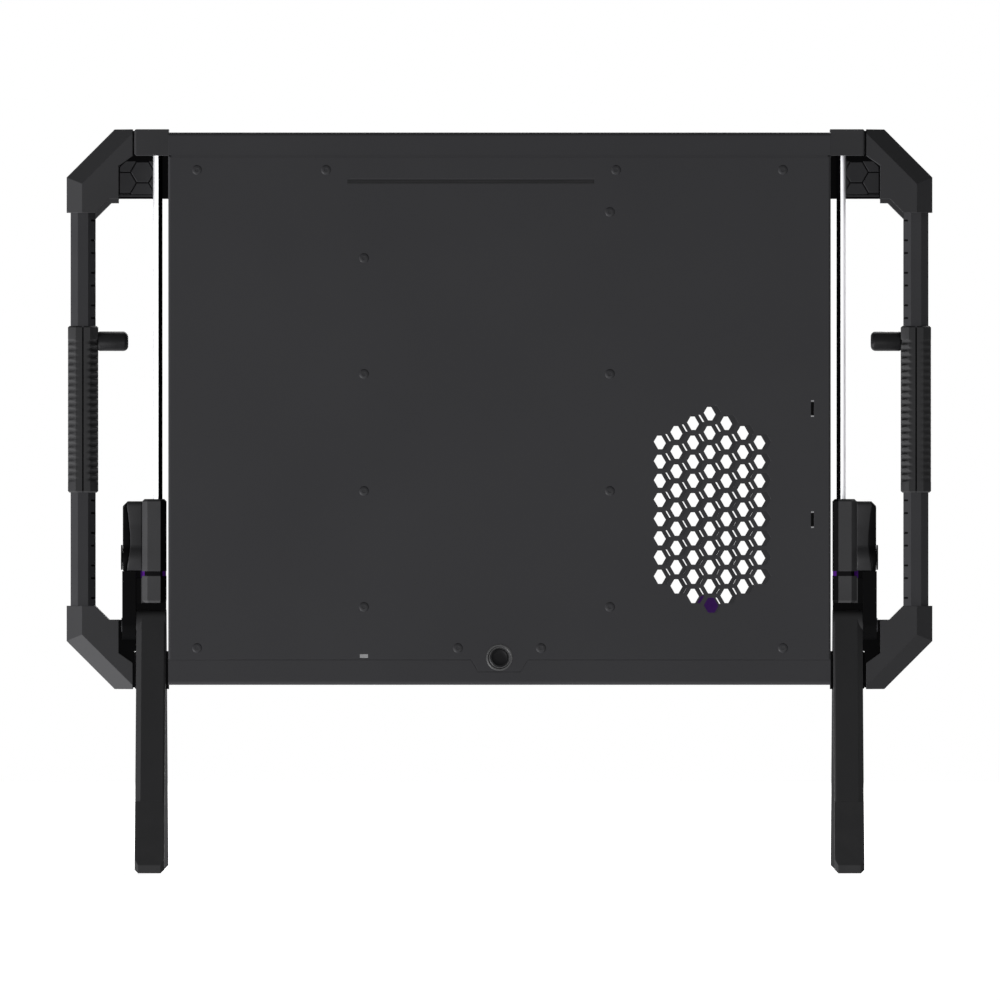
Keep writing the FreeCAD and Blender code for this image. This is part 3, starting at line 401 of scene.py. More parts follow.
def addBox(build, low, high, inset=0.2):
    # a box in millimetres with its ends eased along Z
    rings = []
    for z, shrink in ((low[2], inset), (low[2] + inset, 0), (high[2] - inset, 0), (high[2], inset)):
        x0, y0, x1, y1 = low[0] + shrink, low[1] + shrink, high[0] - shrink, high[1] - shrink
        rings.append([build.verts.new(Vector((x, y, z)) * mm) for x, y in ((x0, y0), (x1, y0), (x1, y1), (x0, y1))])
    joinRings(build, rings)
    build.faces.new(rings[0])
    build.faces.new(rings[-1])
    return build


def roundOutline(corner, radius, steps):
    # quarter turn from the flank of a round bar to its end: (along, radius) pairs
    end, reach = corner
    return [
        (end - radius + radius * math.sin(a), reach - radius + radius * math.cos(a))
        for a in (math.pi / 2 * n / steps for n in range(steps + 1))
    ]


# camera at the photograph's angle; a light table lit from below on the left
view = {"lens": 1000, "sensor": 36, "clipEnd": 100, "place": (0.00032, -17.82, 0.23795)}
cameraData = bpy.data.cameras.new("photoView")
cameraData.lens = view["lens"]
cameraData.sensor_width = view["sensor"]
cameraData.clip_end = view["clipEnd"]
camera = bpy.data.objects.new("photoView", cameraData)
camera.location = view["place"]
camera.rotation_euler = (math.pi / 2, 0, 0)
scene.collection.objects.link(camera)
scene.camera = camera
scene.view_settings.view_transform = "Standard"

studio = {
    "ambient": (0.06, 0.06, 0.062), "floorTone": (0.8, 0.8, 0.8), "floorRough": 0.9, "floorSpecular": 0.1,
    "floorGlow": 0.86, "floorReach": 5.6, "floorDrop": 0.0002, "aim": (0, 0, 0.27),
}
lamps = {
    "keyLow": {"place": (-3.1, 0, -2.2), "size": 2.1, "power": 305, "shadow": False},
    "frontLow": {"place": (-2.5, -3.2, -1.9), "size": 2.1, "power": 170, "shadow": False},
    "frontFill": {"place": (0.4, -2.7, -0.65), "size": 1.1, "power": 27, "shadow": False},
    "topSoft": {"place": (0.4, 2.6, 3.4), "size": 2.5, "power": 58, "shadow": True},
    "backSoft": {"place": (1.6, 4.6, 1.9), "size": 3, "power": 160, "shadow": True},
}


def seenDirectly(tree):
    # 1 for what the camera, a mirror surface or glass shows, 0 for soft light
    path = tree.nodes.new("ShaderNodeLightPath")
    value = path.outputs["Is Camera Ray"]
    for label in ("Is Glossy Ray", "Is Transmission Ray"):
        larger = tree.nodes.new("ShaderNodeMath")
        larger.operation = "MAXIMUM"
        tree.links.new(value, larger.inputs[0])
        tree.links.new(path.outputs[label], larger.inputs[1])
        value = larger.outputs["Value"]
    return value


world = bpy.data.worlds.new("studio")
scene.world = world
world.use_nodes = True
worldTree = world.node_tree
worldTone = blendTones(worldTree, seenDirectly(worldTree), studio["ambient"], (1.0, 1.0, 1.0))
worldTree.links.new(worldTone, worldTree.nodes["Background"].inputs["Color"])

floorMaterial = bpy.data.materials.new("paleFloor")
floorMaterial.use_nodes = True
floorTree = floorMaterial.node_tree
floorShader = floorTree.nodes["Principled BSDF"]
floorShader.inputs["Base Color"].default_value = (*studio["floorTone"], 1)
floorShader.inputs["Roughness"].default_value = studio["floorRough"]
floorShader.inputs["Specular IOR Level"].default_value = studio["floorSpecular"]
floorShader.inputs["Emission Color"].default_value = (1, 1, 1, 1)
floorTree.links.new(
    spread(floorTree, seenDirectly(floorTree), 0, studio["floorGlow"], 0, 1), floorShader.inputs["Emission Strength"]
)
floorBuild = bmesh.new()
bmesh.ops.create_grid(floorBuild, x_segments=1, y_segments=1, size=studio["floorReach"])
floorMesh = bpy.data.meshes.new("floor")
floorBuild.to_mesh(floorMesh)
floorBuild.free()
floorMesh.materials.append(floorMaterial)
floor = bpy.data.objects.new("floor", floorMesh)
floor.location = (0, 0, -studio["floorDrop"])
scene.collection.objects.link(floor)

aim = Vector(studio["aim"])
for name, lamp in lamps.items():
    data = bpy.data.lights.new(name, "AREA")
    data.size = lamp["size"]
    data.energy = lamp["power"]
    data.use_shadow = lamp["shadow"]
    item = bpy.data.objects.new(name, data)
    item.location = lamp["place"]
    item.rotation_euler = (aim - Vector(lamp["place"])).to_track_quat("-Z", "Y").to_euler()
    item.visible_camera = False
    scene.collection.objects.link(item)
print("camera and light: done")


# turned pieces: guide rods, pull knobs, power button
rods = {"chamfer": 0.5, "steps": 64}
for side in sides:
    low, high = (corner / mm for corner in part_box(f"{side}_guide_rod"))
    radius = (high.x - low.x) / 2
    centre = ((low.x + high.x) / 2, 0, 0)
    outline = [
        (low.z, 0), (low.z, radius - rods["chamfer"]), (low.z + rods["chamfer"], radius),
        (high.z - rods["chamfer"], radius), (high.z, radius - rods["chamfer"]), (high.z, 0),
    ]
    piece = newPiece(f"{side}_polished_rod", lathe(bmesh.new(), outline, "z", centre, rods["steps"]), "rodChrome")
    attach(piece, "case")
    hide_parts(f"{side}_guide_rod")

knob = {
    "start": -257.2, "length": 19.1, "radius": 6.3, "edge": 0.3, "edgeDrop": 0.2, "neck": 5.9, "neckLength": 0.3,
    "stem": 2.5, "endRound": 3.2, "endSteps": 8, "endDip": 0.3, "dipRadius": 1.6, "steps": 64,
}
collar = {"start": -0.9, "end": -0.06, "inner": 3, "outer": 6}  # along X, from the start of the knob
for side, sign in sides.items():
    low, high = (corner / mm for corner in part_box(f"{side}_grip_plunger"))
    centre = (0, 0, (low.z + high.z) / 2)
    stemStart = low.x if sign > 0 else -high.x
    body = knob["start"] + knob["neckLength"]
    end = knob["start"] + knob["length"]
    outline = [
        (stemStart, 0), (stemStart, knob["stem"]), (knob["start"], knob["stem"]), (knob["start"], knob["neck"]),
        (body, knob["radius"] - knob["edgeDrop"]), (body + knob["edge"], knob["radius"]),
        *roundOutline((end, knob["radius"]), knob["endRound"], knob["endSteps"]),
        (end - knob["endDip"], knob["dipRadius"]), (end - knob["endDip"], 0),
    ]
    build = lathe(bmesh.new(), outline, "x", centre, knob["steps"])
    piece = newPiece(f"{side}_pull_knob", build, "knobGloss", sign < 0)
    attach(piece, f"{side}_plunger")
    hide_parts(f"{side}_grip_plunger")

    first, last = knob["start"] + collar["start"], knob["start"] + collar["end"]
    outline = [
        (first, collar["inner"]), (first, collar["outer"]), (last, collar["outer"]), (last, collar["inner"]),
        (first, collar["inner"]),
    ]
    build = lathe(bmesh.new(), outline, "x", centre, knob["steps"])
    piece = newPiece(f"{side}_knob_collar", build, "leverBand", sign < 0)
    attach(piece, "case")

button = {  # outlines as (along Y, radius); the disc has room for its travel above the floor of the ring's well
    "ring": (
        (-26, 0), (-26, 7), (-40, 7), (-40, 8.65), (-42.6, 8.65), (-43.2, 8.45), (-43.6, 7.9), (-43.6, 7.35),
        (-43.1, 6.9), (-42.7, 6.75), (-42.7, 6.35), (-43.0, 6.1), (-42.7, 5.9), (-33, 5.9), (-33, 0),
    ),
    "disc": (
        (-35.6, 0), (-35.6, 5.5), (-36, 5.75), (-43.9, 5.75), (-44.4, 5.55), (-44.6, 5.2), (-44.55, 4.9),
        (-44.2, 4.5), (-44, 4.1), (-43.85, 2.4), (-43.8, 0),
    ),
    "steps": 72,
}
low, high = (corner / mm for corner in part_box("power_button_bezel"))
buttonCentre = (0, 0, (low.z + high.z) / 2)
build = lathe(bmesh.new(), button["ring"], "y", buttonCentre, button["steps"])
piece = newPiece("power_button_ring", build, "bezelAnodised")
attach(piece, "case")
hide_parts("power_button_bezel")
build = lathe(bmesh.new(), button["disc"], "y", buttonCentre, button["steps"])
piece = newPiece("power_button_disc", build, "buttonBlack")
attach(piece, "power_button")
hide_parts("power_button_cap")
print("turned pieces: done")


# Geometry Nodes: trees are built here and left as plain meshes
def newTree(name, inputs):
    # inputs: label -> (socket type, value); returns the tree, its input node and the sockets
    tree = bpy.data.node_groups.new(name, "GeometryNodeTree")
    tree.is_modifier = True
    tree.interface.new_socket(name="Geometry", in_out="INPUT", socket_type="NodeSocketGeometry")
    sockets = {}
    for label, (kind, _) in inputs.items():
        sockets[label] = tree.interface.new_socket(name=label, in_out="INPUT", socket_type=kind)
    tree.interface.new_socket(name="Geometry", in_out="OUTPUT", socket_type="NodeSocketGeometry")
    return tree, tree.nodes.new("NodeGroupInput"), sockets


def endTree(tree, source, geometry):
    realize = tree.nodes.new("GeometryNodeRealizeInstances")
    paint = tree.nodes.new("GeometryNodeSetMaterial")
    output = tree.nodes.new("NodeGroupOutput")
    tree.links.new(geometry, realize.inputs["Geometry"])
    tree.links.new(realize.outputs["Geometry"], paint.inputs["Geometry"])
    tree.links.new(source.outputs["Finish"], paint.inputs["Material"])
    tree.links.new(paint.outputs["Geometry"], output.inputs[0])


def runTree(piece, tree, sockets, inputs):
    # leaves the piece with the plain mesh that the tree makes
    modifier = piece.modifiers.new(tree.name, "NODES")
    modifier.node_group = tree
    for label, (_, value) in inputs.items():
        modifier[sockets[label].identifier] = value
    depsgraph = bpy.context.evaluated_depsgraph_get()
    mesh = bpy.data.meshes.new_from_object(piece.evaluated_get(depsgraph), depsgraph=depsgraph)
    piece.modifiers.remove(modifier)
    piece.data = mesh
    mesh.name = piece.name
    return piece


def mathNode(tree, operation, first, second=None):
    node = tree.nodes.new("ShaderNodeMath")
    node.operation = operation
    for socket, value in zip(node.inputs, (first, second)):
        if isinstance(value, (int, float)):
            socket.default_value = value
        elif value is not None:
            tree.links.new(value, socket)
    return node.outputs["Value"]


# cover screws: a button head with a hex socket on each point, turned at random about its own axis
screw = {
    "across": 6.3, "seed": 4, "steps": 24, "socket": 0.34, "rim": 0.31, "sink": 0.1, "turn": 2 * math.pi,
    "dome": ((1, 0), (1, 0.08), (0.94, 0.18), (0.8, 0.26), (0.6, 0.3)),  # radius, height
    "buttonReach": 30, "buttonTop": 150,  # the two screws beside the power button are on the rear cover only
}
screwSpots = (
    (-193.6, 449.2), (-111, 449.2), (74.6, 449.2), (181.4, 449.2), (70.7, 422.3), (-86.7, 392.8),
    (-86.7, 318.6), (70.7, 318.6), (-86.7, 243.7), (70.7, 243.7), (-86.7, 169.5), (70.7, 169.5),
    (-193.6, 143.2), (-26.6, 143.2), (26.6, 143.2), (181.4, 143.2),
)


def screwHead():
    # radius 1, top towards +Z
    build = bmesh.new()
    rings = []
    steps = screw["steps"]
    for radius, height in screw["dome"]:
        rings.append([(radius, height)] * steps)
    for height in (screw["rim"], screw["sink"]):
        hexagon = []
        for n in range(steps):
            angle = 2 * math.pi * n / steps
            offside = (angle + math.pi / 6) % (math.pi / 3) - math.pi / 6
            hexagon.append((screw["socket"] / math.cos(offside), height))
        rings.append(hexagon)
    rings.append([(0, screw["sink"])])
    made = []
    for ring in rings:
        made.append([
            build.verts.new((r * math.cos(2 * math.pi * n / steps), r * math.sin(2 * math.pi * n / steps), z))
            for n, (r, z) in enumerate(ring)
        ])
    joinRings(build, made)
    return newPiece("screw_head", build, "boltSteel")


def facingPoints(name, spots):
    # spots: (place in millimetres, facing)
    mesh = bpy.data.meshes.new(name)
    mesh.from_pydata([Vector(spot) * mm for spot, _ in spots], [], [])
    facings = mesh.attributes.new("facing", "FLOAT_VECTOR", "POINT")
    for n, (_, facing) in enumerate(spots):
        facings.data[n].vector = facing
    piece = bpy.data.objects.new(name, mesh)
    scene.collection.objects.link(piece)
    return piece


head = screwHead()
screwInputs = {
    "Head": ("NodeSocketObject", head), "Across": ("NodeSocketFloat", screw["across"] * mm),
    "Turn": ("NodeSocketFloat", screw["turn"]), "Seed": ("NodeSocketInt", screw["seed"]),
    "Finish": ("NodeSocketMaterial", finishes["boltSteel"]),
}
screwTree, source, screwSockets = newTree("coverScrews", screwInputs)
headInfo = screwTree.nodes.new("GeometryNodeObjectInfo")
facings = screwTree.nodes.new("GeometryNodeInputNamedAttribute")
facings.data_type = "FLOAT_VECTOR"
facings.inputs["Name"].default_value = "facing"
align = screwTree.nodes.new("FunctionNodeAlignRotationToVector")
align.axis = "Z"
upright = screwTree.nodes.new("FunctionNodeAlignRotationToVector")
upright.axis = "Y"
upright.pivot_axis = "Z"
upright.inputs["Vector"].default_value = (0, 0, 1)
spin = screwTree.nodes.new("FunctionNodeRandomValue")
spin.data_type = "FLOAT"
screwTree.links.new(source.outputs["Turn"], spin.inputs[3])  # the upper end of a random float
turned = screwTree.nodes.new("FunctionNodeAxisAngleToRotation")
together = screwTree.nodes.new("FunctionNodeRotateRotation")
together.rotation_space = "LOCAL"
place = screwTree.nodes.new("GeometryNodeInstanceOnPoints")
screwTree.links.new(source.outputs["Head"], headInfo.inputs["Object"])
screwTree.links.new(source.outputs["Seed"], spin.inputs["Seed"])
screwTree.links.new(facings.outputs["Attribute"], align.inputs["Vector"])
screwTree.links.new(spin.outputs[1], turned.inputs["Angle"])
screwTree.links.new(align.outputs["Rotation"], upright.inputs["Rotation"])
screwTree.links.new(upright.outputs["Rotation"], together.inputs["Rotation"])
screwTree.links.new(turned.outputs["Rotation"], together.inputs["Rotate By"])
screwTree.links.new(source.outputs["Geometry"], place.inputs["Points"])
screwTree.links.new(headInfo.outputs["Geometry"], place.inputs["Instance"])
screwTree.links.new(together.outputs["Rotation"], place.inputs["Rotation"])
screwTree.links.new(mathNode(screwTree, "MULTIPLY", source.outputs["Across"], 0.5), place.inputs["Scale"])
endTree(screwTree, source, place.outputs["Instances"])

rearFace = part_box("rear_cover")[0].y / mm
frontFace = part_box("front_cover")[1].y / mm
caseSpots = [((x, rearFace, z), (0, -1, 0)) for x, z in screwSpots]
caseSpots += [
    ((x, frontFace, z), (0, 1, 0)) for x, z in screwSpots
    if abs(x) > screw["buttonReach"] or z > screw["buttonTop"]
]
screws = runTree(facingPoints("cover_screws", caseSpots), screwTree, screwSockets, screwInputs)
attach(screws, "case")
bpy.data.objects.remove(head)
print("screws:", len(caseSpots))

# a flush strip in the seam under the top rail, a little darker than the case paint as painted shade of the seam
seamShadeStrip = {"low": (-210, -42.02, 457.2), "high": (210, -40.6, 459), "inset": 0.01}
build = addBox(bmesh.new(), seamShadeStrip["low"], seamShadeStrip["high"], seamShadeStrip["inset"])
piece = newPiece("rail_seam_liner", build, "seamPaint")
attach(piece, "case")

# pieces in the small openings: a pale plate in the lock slot as a painted glint, and in the tie slots black strips as
# painted shade with pale ends as painted glints
slotFill = {"front": -41.75, "back": -40.05, "inset": 0.1}
slots = {
    "lock_slot_plate": {"boxes": (((-89.4, 136.9), (-84.2, 139.3)),), "finish": "plateZinc", "slot": "bolt_steel"},
    "tie_slot_strips": {
        "boxes": (((199.4, 221.1), (201.2, 229.7)), ((199.4, 292.2), (201.2, 300.8))),
        "finish": "leverBand", "slot": "grip_plastic",
    },
    "tie_slot_ends": {
        "boxes": tuple(((199.35, z), (201.25, z + 1)) for z in (220.05, 229.75, 291.15, 300.85)),
        "finish": "plateZinc", "slot": "bolt_steel",
    },
}
for name, item in slots.items():
    build = bmesh.new()
    for (x0, z0), (x1, z1) in item["boxes"]:
        addBox(build, (x0, slotFill["front"], z0), (x1, slotFill["back"], z1), slotFill["inset"])
    piece = newPiece(name, build, item["finish"])
    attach(piece, "case")

# handle tubes: a short black mark across both inner bevels at each end of a slot, painted shade of the slot's ends
slotShade = {
    "slots": 12, "pitch": 20.85, "middle": 296.15, "slotLength": 12.7, "long": 3.6, "tall": 1.3, "bevelX": 260.75,
    "steps": 20, "profile": ((1, -0.1), (1, 0.04), (0.9, 0.06)),  # share of the outline, height
}


def slotShadeShape():
    # long side along X, 1 to each side of the middle, top towards +Z
    build = bmesh.new()
    thin = slotShade["tall"] / slotShade["long"]
    rings = []
    for share, height in slotShade["profile"]:
        ring = []
        for n in range(slotShade["steps"]):
            angle = 2 * math.pi * n / slotShade["steps"]
            across, up = math.cos(angle), math.sin(angle)
            along = math.copysign(1 - thin, across) if abs(across) > 1e-6 else 0
            ring.append(build.verts.new(((along + thin * across) * share, thin * up * share, height)))
        rings.append(ring)
    joinRings(build, rings)
    build.faces.new(rings[0])
    build.faces.new(rings[-1])
    return newPiece("slot_inlay", build, "leverBand")


slotShadeSpot = slotShadeShape()
slotShadeInputs = {
    "Head": ("NodeSocketObject", slotShadeSpot), "Across": ("NodeSocketFloat", slotShade["long"] * mm),
    "Turn": ("NodeSocketFloat", 0.0), "Seed": ("NodeSocketInt", 1),
    "Finish": ("NodeSocketMaterial", finishes["leverBand"]),
}
for side, sign in sides.items():
    low, high = (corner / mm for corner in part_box(f"{side}_handle_tube"))
    gripLow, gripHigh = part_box(f"{side}_grip_inner_half")
    centre, half = (low.x + high.x) / 2, (high.x - low.x) / 2
    away = abs(abs(centre) - slotShade["bevelX"])
    depth = half * math.sqrt(2) - away  # how far the bevel lies from the tube's middle there
    spots = []
    for n in range(slotShade["slots"]):
        for end in (-1, 1):
            z = slotShade["middle"] + (n - (slotShade["slots"] - 1) / 2) * slotShade["pitch"] + end * slotShade["slotLength"] / 2
            covered = gripLow.z / mm < z < gripHigh.z / mm
            for face in () if covered else (-1, 1):
                spots.append(((-sign * slotShade["bevelX"], face * depth, z), (sign, face, 0)))
    piece = runTree(facingPoints(f"{side}_slot_inlays", spots), screwTree, screwSockets, slotShadeInputs)
    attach(piece, "case")
bpy.data.objects.remove(slotShadeSpot)
print("tube slot shades: done")


# grip halves: scallops cut across the bevelled corners, with rounded ends towards the seam
grip = {
    "firstRib": 251.5, "ribs": 21, "pitch": 4.39, "depths": {"outer": 0.7, "inner": 1.7}, "share": 0.43,
    "scallop": 7, "ramp": 1.6, "bevel": 5, "endBevel": 1, "hollow": 8.1, "hollowCorner": 3.35,
    "seam": 0.5, "seamDrop": 0.25, "seamInset": 0.05,
    "frontSteps": 4, "cornerSteps": 7, "flankSteps": 6, "levelsPerRib": 10, "sharpAngle": 40,
}


def gripSection(reach, half, inset):
    # (away from the seam, across, how far into a scallop) round one half, in millimetres
    reach, half = reach - inset, half - inset
    bevel = grip["bevel"]
    start = (grip["seam"], -half)
    steps = grip["frontSteps"]
    front = [(start[0] + (reach - bevel - start[0]) * n / steps, -half) for n in range(steps)]
    corner = []
    for n in range(grip["cornerSteps"] + 1):
        share = n / grip["cornerSteps"]
        corner.append((reach - bevel + bevel * share, -half + bevel * share))
    quarter = [(a, b, max(0, 1 - (reach - a) / grip["scallop"])) for a, b in front + corner]
    steps = grip["flankSteps"]
    quarter += [(reach, -half + bevel + (2 * half - 2 * bevel) * n / steps, 0) for n in range(1, steps // 2)]
    outer = quarter + [(reach, 0, 0)] + [(a, -b, c) for a, b, c in reversed(quarter)]
    hollow, cut = grip["hollow"], grip["hollowCorner"]
    inner = [(grip["seam"], hollow, 0), (cut, hollow, 0), (hollow, cut, 0)]
    inner += [(a, -b, c) for a, b, c in reversed(inner)]
    return outer, inner


def gripBase(name, low, high, sign):
    # sign: which way the half faces in X
    seamX = high.x if sign < 0 else low.x
    reach, half = high.x - low.x, (high.y - low.y) / 2
    ribLow = grip["firstRib"] - grip["pitch"] / 2
    ribHigh = ribLow + grip["ribs"] * grip["pitch"]
    count = grip["ribs"] * grip["levelsPerRib"]
    levels = [(low.z, grip["endBevel"], 0), (low.z + grip["endBevel"], 0, 0)]
    levels += [(ribLow + (ribHigh - ribLow) * n / count, 0, 1) for n in range(count + 1)]
    levels += [(high.z - grip["endBevel"], 0, 0), (high.z, grip["endBevel"], 0)]
    points, masks = [], []
    for z, inset, ribbed in levels:
        outer, inner = gripSection(reach, half, inset)
        for away, across, share in outer + inner:
            points.append((seamX + sign * away, across, z))
            masks.append(share * ribbed)
    loop = len(outer) + len(inner)
    faces = []
    for level in range(len(levels) - 1):
        for n in range(loop):
            a, b = level * loop + n, level * loop + (n + 1) % loop
            faces.append((a, b, b + loop, a + loop))
    last = (len(levels) - 1) * loop
    for base in (0, last):
        # end faces: strips between the outline and the hollow
        rim = [base + n for n in range(len(outer))]
        well = [base + n for n in range(len(outer), loop)][::-1]
        faces += endStrips(rim, well)
    mesh = bpy.data.meshes.new(name)
    mesh.from_pydata([Vector(p) * mm for p in points], [], faces)
    build = bmesh.new()
    build.from_mesh(mesh)
    bmesh.ops.recalc_face_normals(build, faces=build.faces)
    build.to_mesh(mesh)
    build.free()
    attribute = mesh.attributes.new("scallop", "FLOAT", "POINT")
    attribute.data.foreach_set("value", masks)
    piece = bpy.data.objects.new(name, mesh)
    scene.collection.objects.link(piece)
    return piece


def endStrips(rim, well):
    # joins two open rows of points that run the same way
    faces = []
    a = b = 0
    while a < len(rim) - 1 or b < len(well) - 1:
        if b * (len(rim) - 1) < a * (len(well) - 1) or a == len(rim) - 1:
            faces.append((rim[a], well[b], well[b + 1]))
            b += 1
        else:
            faces.append((rim[a], rim[a + 1], well[b]))
            a += 1
    return faces


gripInputs = {
    "First rib": ("NodeSocketFloat", grip["firstRib"] * mm), "Pitch": ("NodeSocketFloat", grip["pitch"] * mm),
    "Depth": ("NodeSocketFloat", 0.0), "Share": ("NodeSocketFloat", grip["share"]),
    "Middle": ("NodeSocketFloat", 0.0), "Finish": ("NodeSocketMaterial", finishes["gripPlastic"]),
}
gripTree, source, gripSockets = newTree("gripScallops", gripInputs)
position = gripTree.nodes.new("GeometryNodeInputPosition")
parts = gripTree.nodes.new("ShaderNodeSeparateXYZ")
mask = gripTree.nodes.new("GeometryNodeInputNamedAttribute")
mask.inputs["Name"].default_value = "scallop"
gripTree.links.new(position.outputs["Position"], parts.inputs["Vector"])
ribs = mathNode(gripTree, "SUBTRACT", parts.outputs["Z"], source.outputs["First rib"])
ribs = mathNode(gripTree, "DIVIDE", ribs, source.outputs["Pitch"])
nearest = mathNode(gripTree, "ROUND", ribs)
away = mathNode(gripTree, "ABSOLUTE", mathNode(gripTree, "SUBTRACT", ribs, nearest))
remainder = mathNode(gripTree, "SUBTRACT", 2, mask.outputs["Attribute"])
oval = mathNode(gripTree, "SQRT", mathNode(gripTree, "MULTIPLY", mask.outputs["Attribute"], remainder))
wide = mathNode(gripTree, "MULTIPLY", source.outputs["Share"], oval)
bowl = mathNode(gripTree, "DIVIDE", away, mathNode(gripTree, "MAXIMUM", wide, 0.001))
bowl = mathNode(gripTree, "MAXIMUM", mathNode(gripTree, "SUBTRACT", 1, mathNode(gripTree, "POWER", bowl, 2)), 0)
deep = mathNode(gripTree, "MULTIPLY", mask.outputs["Attribute"], grip["ramp"])
deep = mathNode(gripTree, "MINIMUM", deep, 1)
dip = mathNode(gripTree, "MULTIPLY", bowl, mathNode(gripTree, "MULTIPLY", deep, source.outputs["Depth"]))
inward = gripTree.nodes.new("ShaderNodeCombineXYZ")
gripTree.links.new(mathNode(gripTree, "SUBTRACT", source.outputs["Middle"], parts.outputs["X"]), inward.inputs["X"])
gripTree.links.new(mathNode(gripTree, "MULTIPLY", parts.outputs["Y"], -1), inward.inputs["Y"])
direction = gripTree.nodes.new("ShaderNodeVectorMath")
direction.operation = "NORMALIZE"
offset = gripTree.nodes.new("ShaderNodeVectorMath")
offset.operation = "SCALE"
shift = gripTree.nodes.new("GeometryNodeSetPosition")
gripTree.links.new(inward.outputs["Vector"], direction.inputs[0])
gripTree.links.new(direction.outputs["Vector"], offset.inputs[0])
gripTree.links.new(dip, offset.inputs["Scale"])
gripTree.links.new(source.outputs["Geometry"], shift.inputs["Geometry"])
gripTree.links.new(offset.outputs["Vector"], shift.inputs["Offset"])
endTree(gripTree, source, shift.outputs["Geometry"])
for side, sign in sides.items():
    for half, facing in (("outer", -sign), ("inner", sign)):
        node = f"{side}_grip_{half}_half"
        low, high = (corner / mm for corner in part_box(node))
        piece = gripBase(f"{side}_{half}_grip_shell", low, high, facing)
        gripInputs["Middle"] = ("NodeSocketFloat", (high.x if facing < 0 else low.x) * mm)
        gripInputs["Depth"] = ("NodeSocketFloat", grip["depths"][half] * mm)
        runTree(piece, gripTree, gripSockets, gripInputs)
        piece.data.shade_smooth()
        piece.data.set_sharp_from_angle(angle=math.radians(grip["sharpAngle"]))
        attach(piece, "case")
        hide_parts(node)
    # black strips between the halves, on the seam side of the inner one: painted shade of the seam
    seamX = low.x if sign > 0 else high.x
    seamReach = high.y - grip["seamDrop"]
    seamLow, seamHigh = low.z + grip["endBevel"], high.z - grip["endBevel"]
    build = bmesh.new()
    for near, far in ((-seamReach, -grip["hollow"]), (grip["hollow"], seamReach)):
        corners = (seamX - grip["seam"], near, seamLow), (seamX + grip["seam"], far, seamHigh)
        addBox(build, *corners, grip["seamInset"])
    piece = newPiece(f"{side}_grip_seam", build, "bracketNylon")
    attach(piece, "case")
print("grips: done")


# clamp levers: a grey arm with a black band down its outer side
lever = {
    "inner": -229.03, "outer": -241.4, "middle": -15, "hubHeight": 201.2, "hub": 8.4, "arm": 5.5, "top": 237.2,
    "corner": 3, "slope": 3.2, "edge": 0.9, "flare": 1.6, "flareStart": 222, "flareLength": 15, "least": 0.02,
    "bandGap": 0.1, "bandLeast": 0.2, "hubSteps": 12, "armSteps": 24, "topSteps": 6, "sharpAngle": 50,
    "edgeHalf": 0.9, "edgeWidth": 0.45, "edgeSteps": 3,  # an edge's round takes at most these shares of a section
}
leverSeam = (  # height, X of the line between the arm and its band
    (192.8, -238.6), (196, -238.4), (200, -237.7), (205, -236.9), (210, -236.6), (216, -236.7), (222, -237.3),
    (228, -237.9), (233, -238.6), (237.2, -238.9),
)


def seamAt(height):
    for (z0, x0), (z1, x1) in zip(leverSeam, leverSeam[1:]):
        if height <= z1:
            share = (height - z0) / (z1 - z0)
            return x0 + (x1 - x0) * share * share * (3 - 2 * share)
    return leverSeam[-1][1]


def leverHalfWidth(height):
    drop = lever["hubHeight"] - height
    hubHalf = math.sqrt(max(0, lever["hub"] ** 2 - drop ** 2))
    if drop > 0:
        return max(hubHalf, lever["least"])
    flare = lever["flare"] * max(0, (height - lever["flareStart"]) / lever["flareLength"])
    width = max(hubHalf, lever["arm"] + flare)
    rise = height - (lever["top"] - lever["corner"])
    if rise > 0:
        width -= lever["corner"] - math.sqrt(max(0, lever["corner"] ** 2 - rise ** 2))
    return width


def roundedRing(build, x0, x1, half, z):
    # a rounded rectangle round the lever's middle line
    edge = min(lever["edge"], half * lever["edgeHalf"], abs(x1 - x0) * lever["edgeWidth"])
    steps = lever["edgeSteps"]
    ring = []
    corners = (
        (x1 - edge, half - edge, 0), (x0 + edge, half - edge, 1),
        (x0 + edge, edge - half, 2), (x1 - edge, edge - half, 3),
    )
    for cx, cy, start in corners:
        for n in range(steps + 1):
            angle = math.pi / 2 * (start + n / steps)
            ring.append(build.verts.new(
                Vector((cx + edge * math.cos(angle), lever["middle"] + cy + edge * math.sin(angle), z)) * mm
            ))
    return ring


def leverBuild(band):
    build = bmesh.new()
    rings = []
    hub, armEnd = lever["hubHeight"], lever["top"] - lever["corner"]
    steps = lever["hubSteps"]
    heights = [hub - lever["hub"] * math.cos(math.pi / 2 * n / steps) for n in range(steps)]
    steps = lever["armSteps"]
    heights += [hub + (armEnd - hub) * n / steps for n in range(steps + 1)]
    steps = lever["topSteps"]
    heights += [armEnd + lever["corner"] * math.sin(math.pi / 2 * n / steps) for n in range(1, steps + 1)]
    for z in heights:
        outer = lever["outer"] + max(0, z - (lever["top"] - lever["slope"]))
        x0, x1 = (outer, seamAt(z) - lever["bandGap"]) if band else (max(seamAt(z), outer), lever["inner"])
        if band and x1 - x0 < lever["bandLeast"]:
            x1 = x0 + lever["bandLeast"]
        rings.append(roundedRing(build, x0, x1, leverHalfWidth(z), z))
    joinRings(build, rings)
    build.faces.new(rings[0])
    build.faces.new(rings[-1])
    return build


for side, sign in sides.items():
    arm = newPiece(f"{side}_lever_arm", leverBuild(False), "leverGrey", sign < 0, lever["sharpAngle"])
    band = newPiece(f"{side}_lever_band", leverBuild(True), "leverBand", sign < 0, lever["sharpAngle"])
    for piece in (arm, band):
        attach(piece, f"{side}_lever")
    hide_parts(f"{side}_clamp_lever")

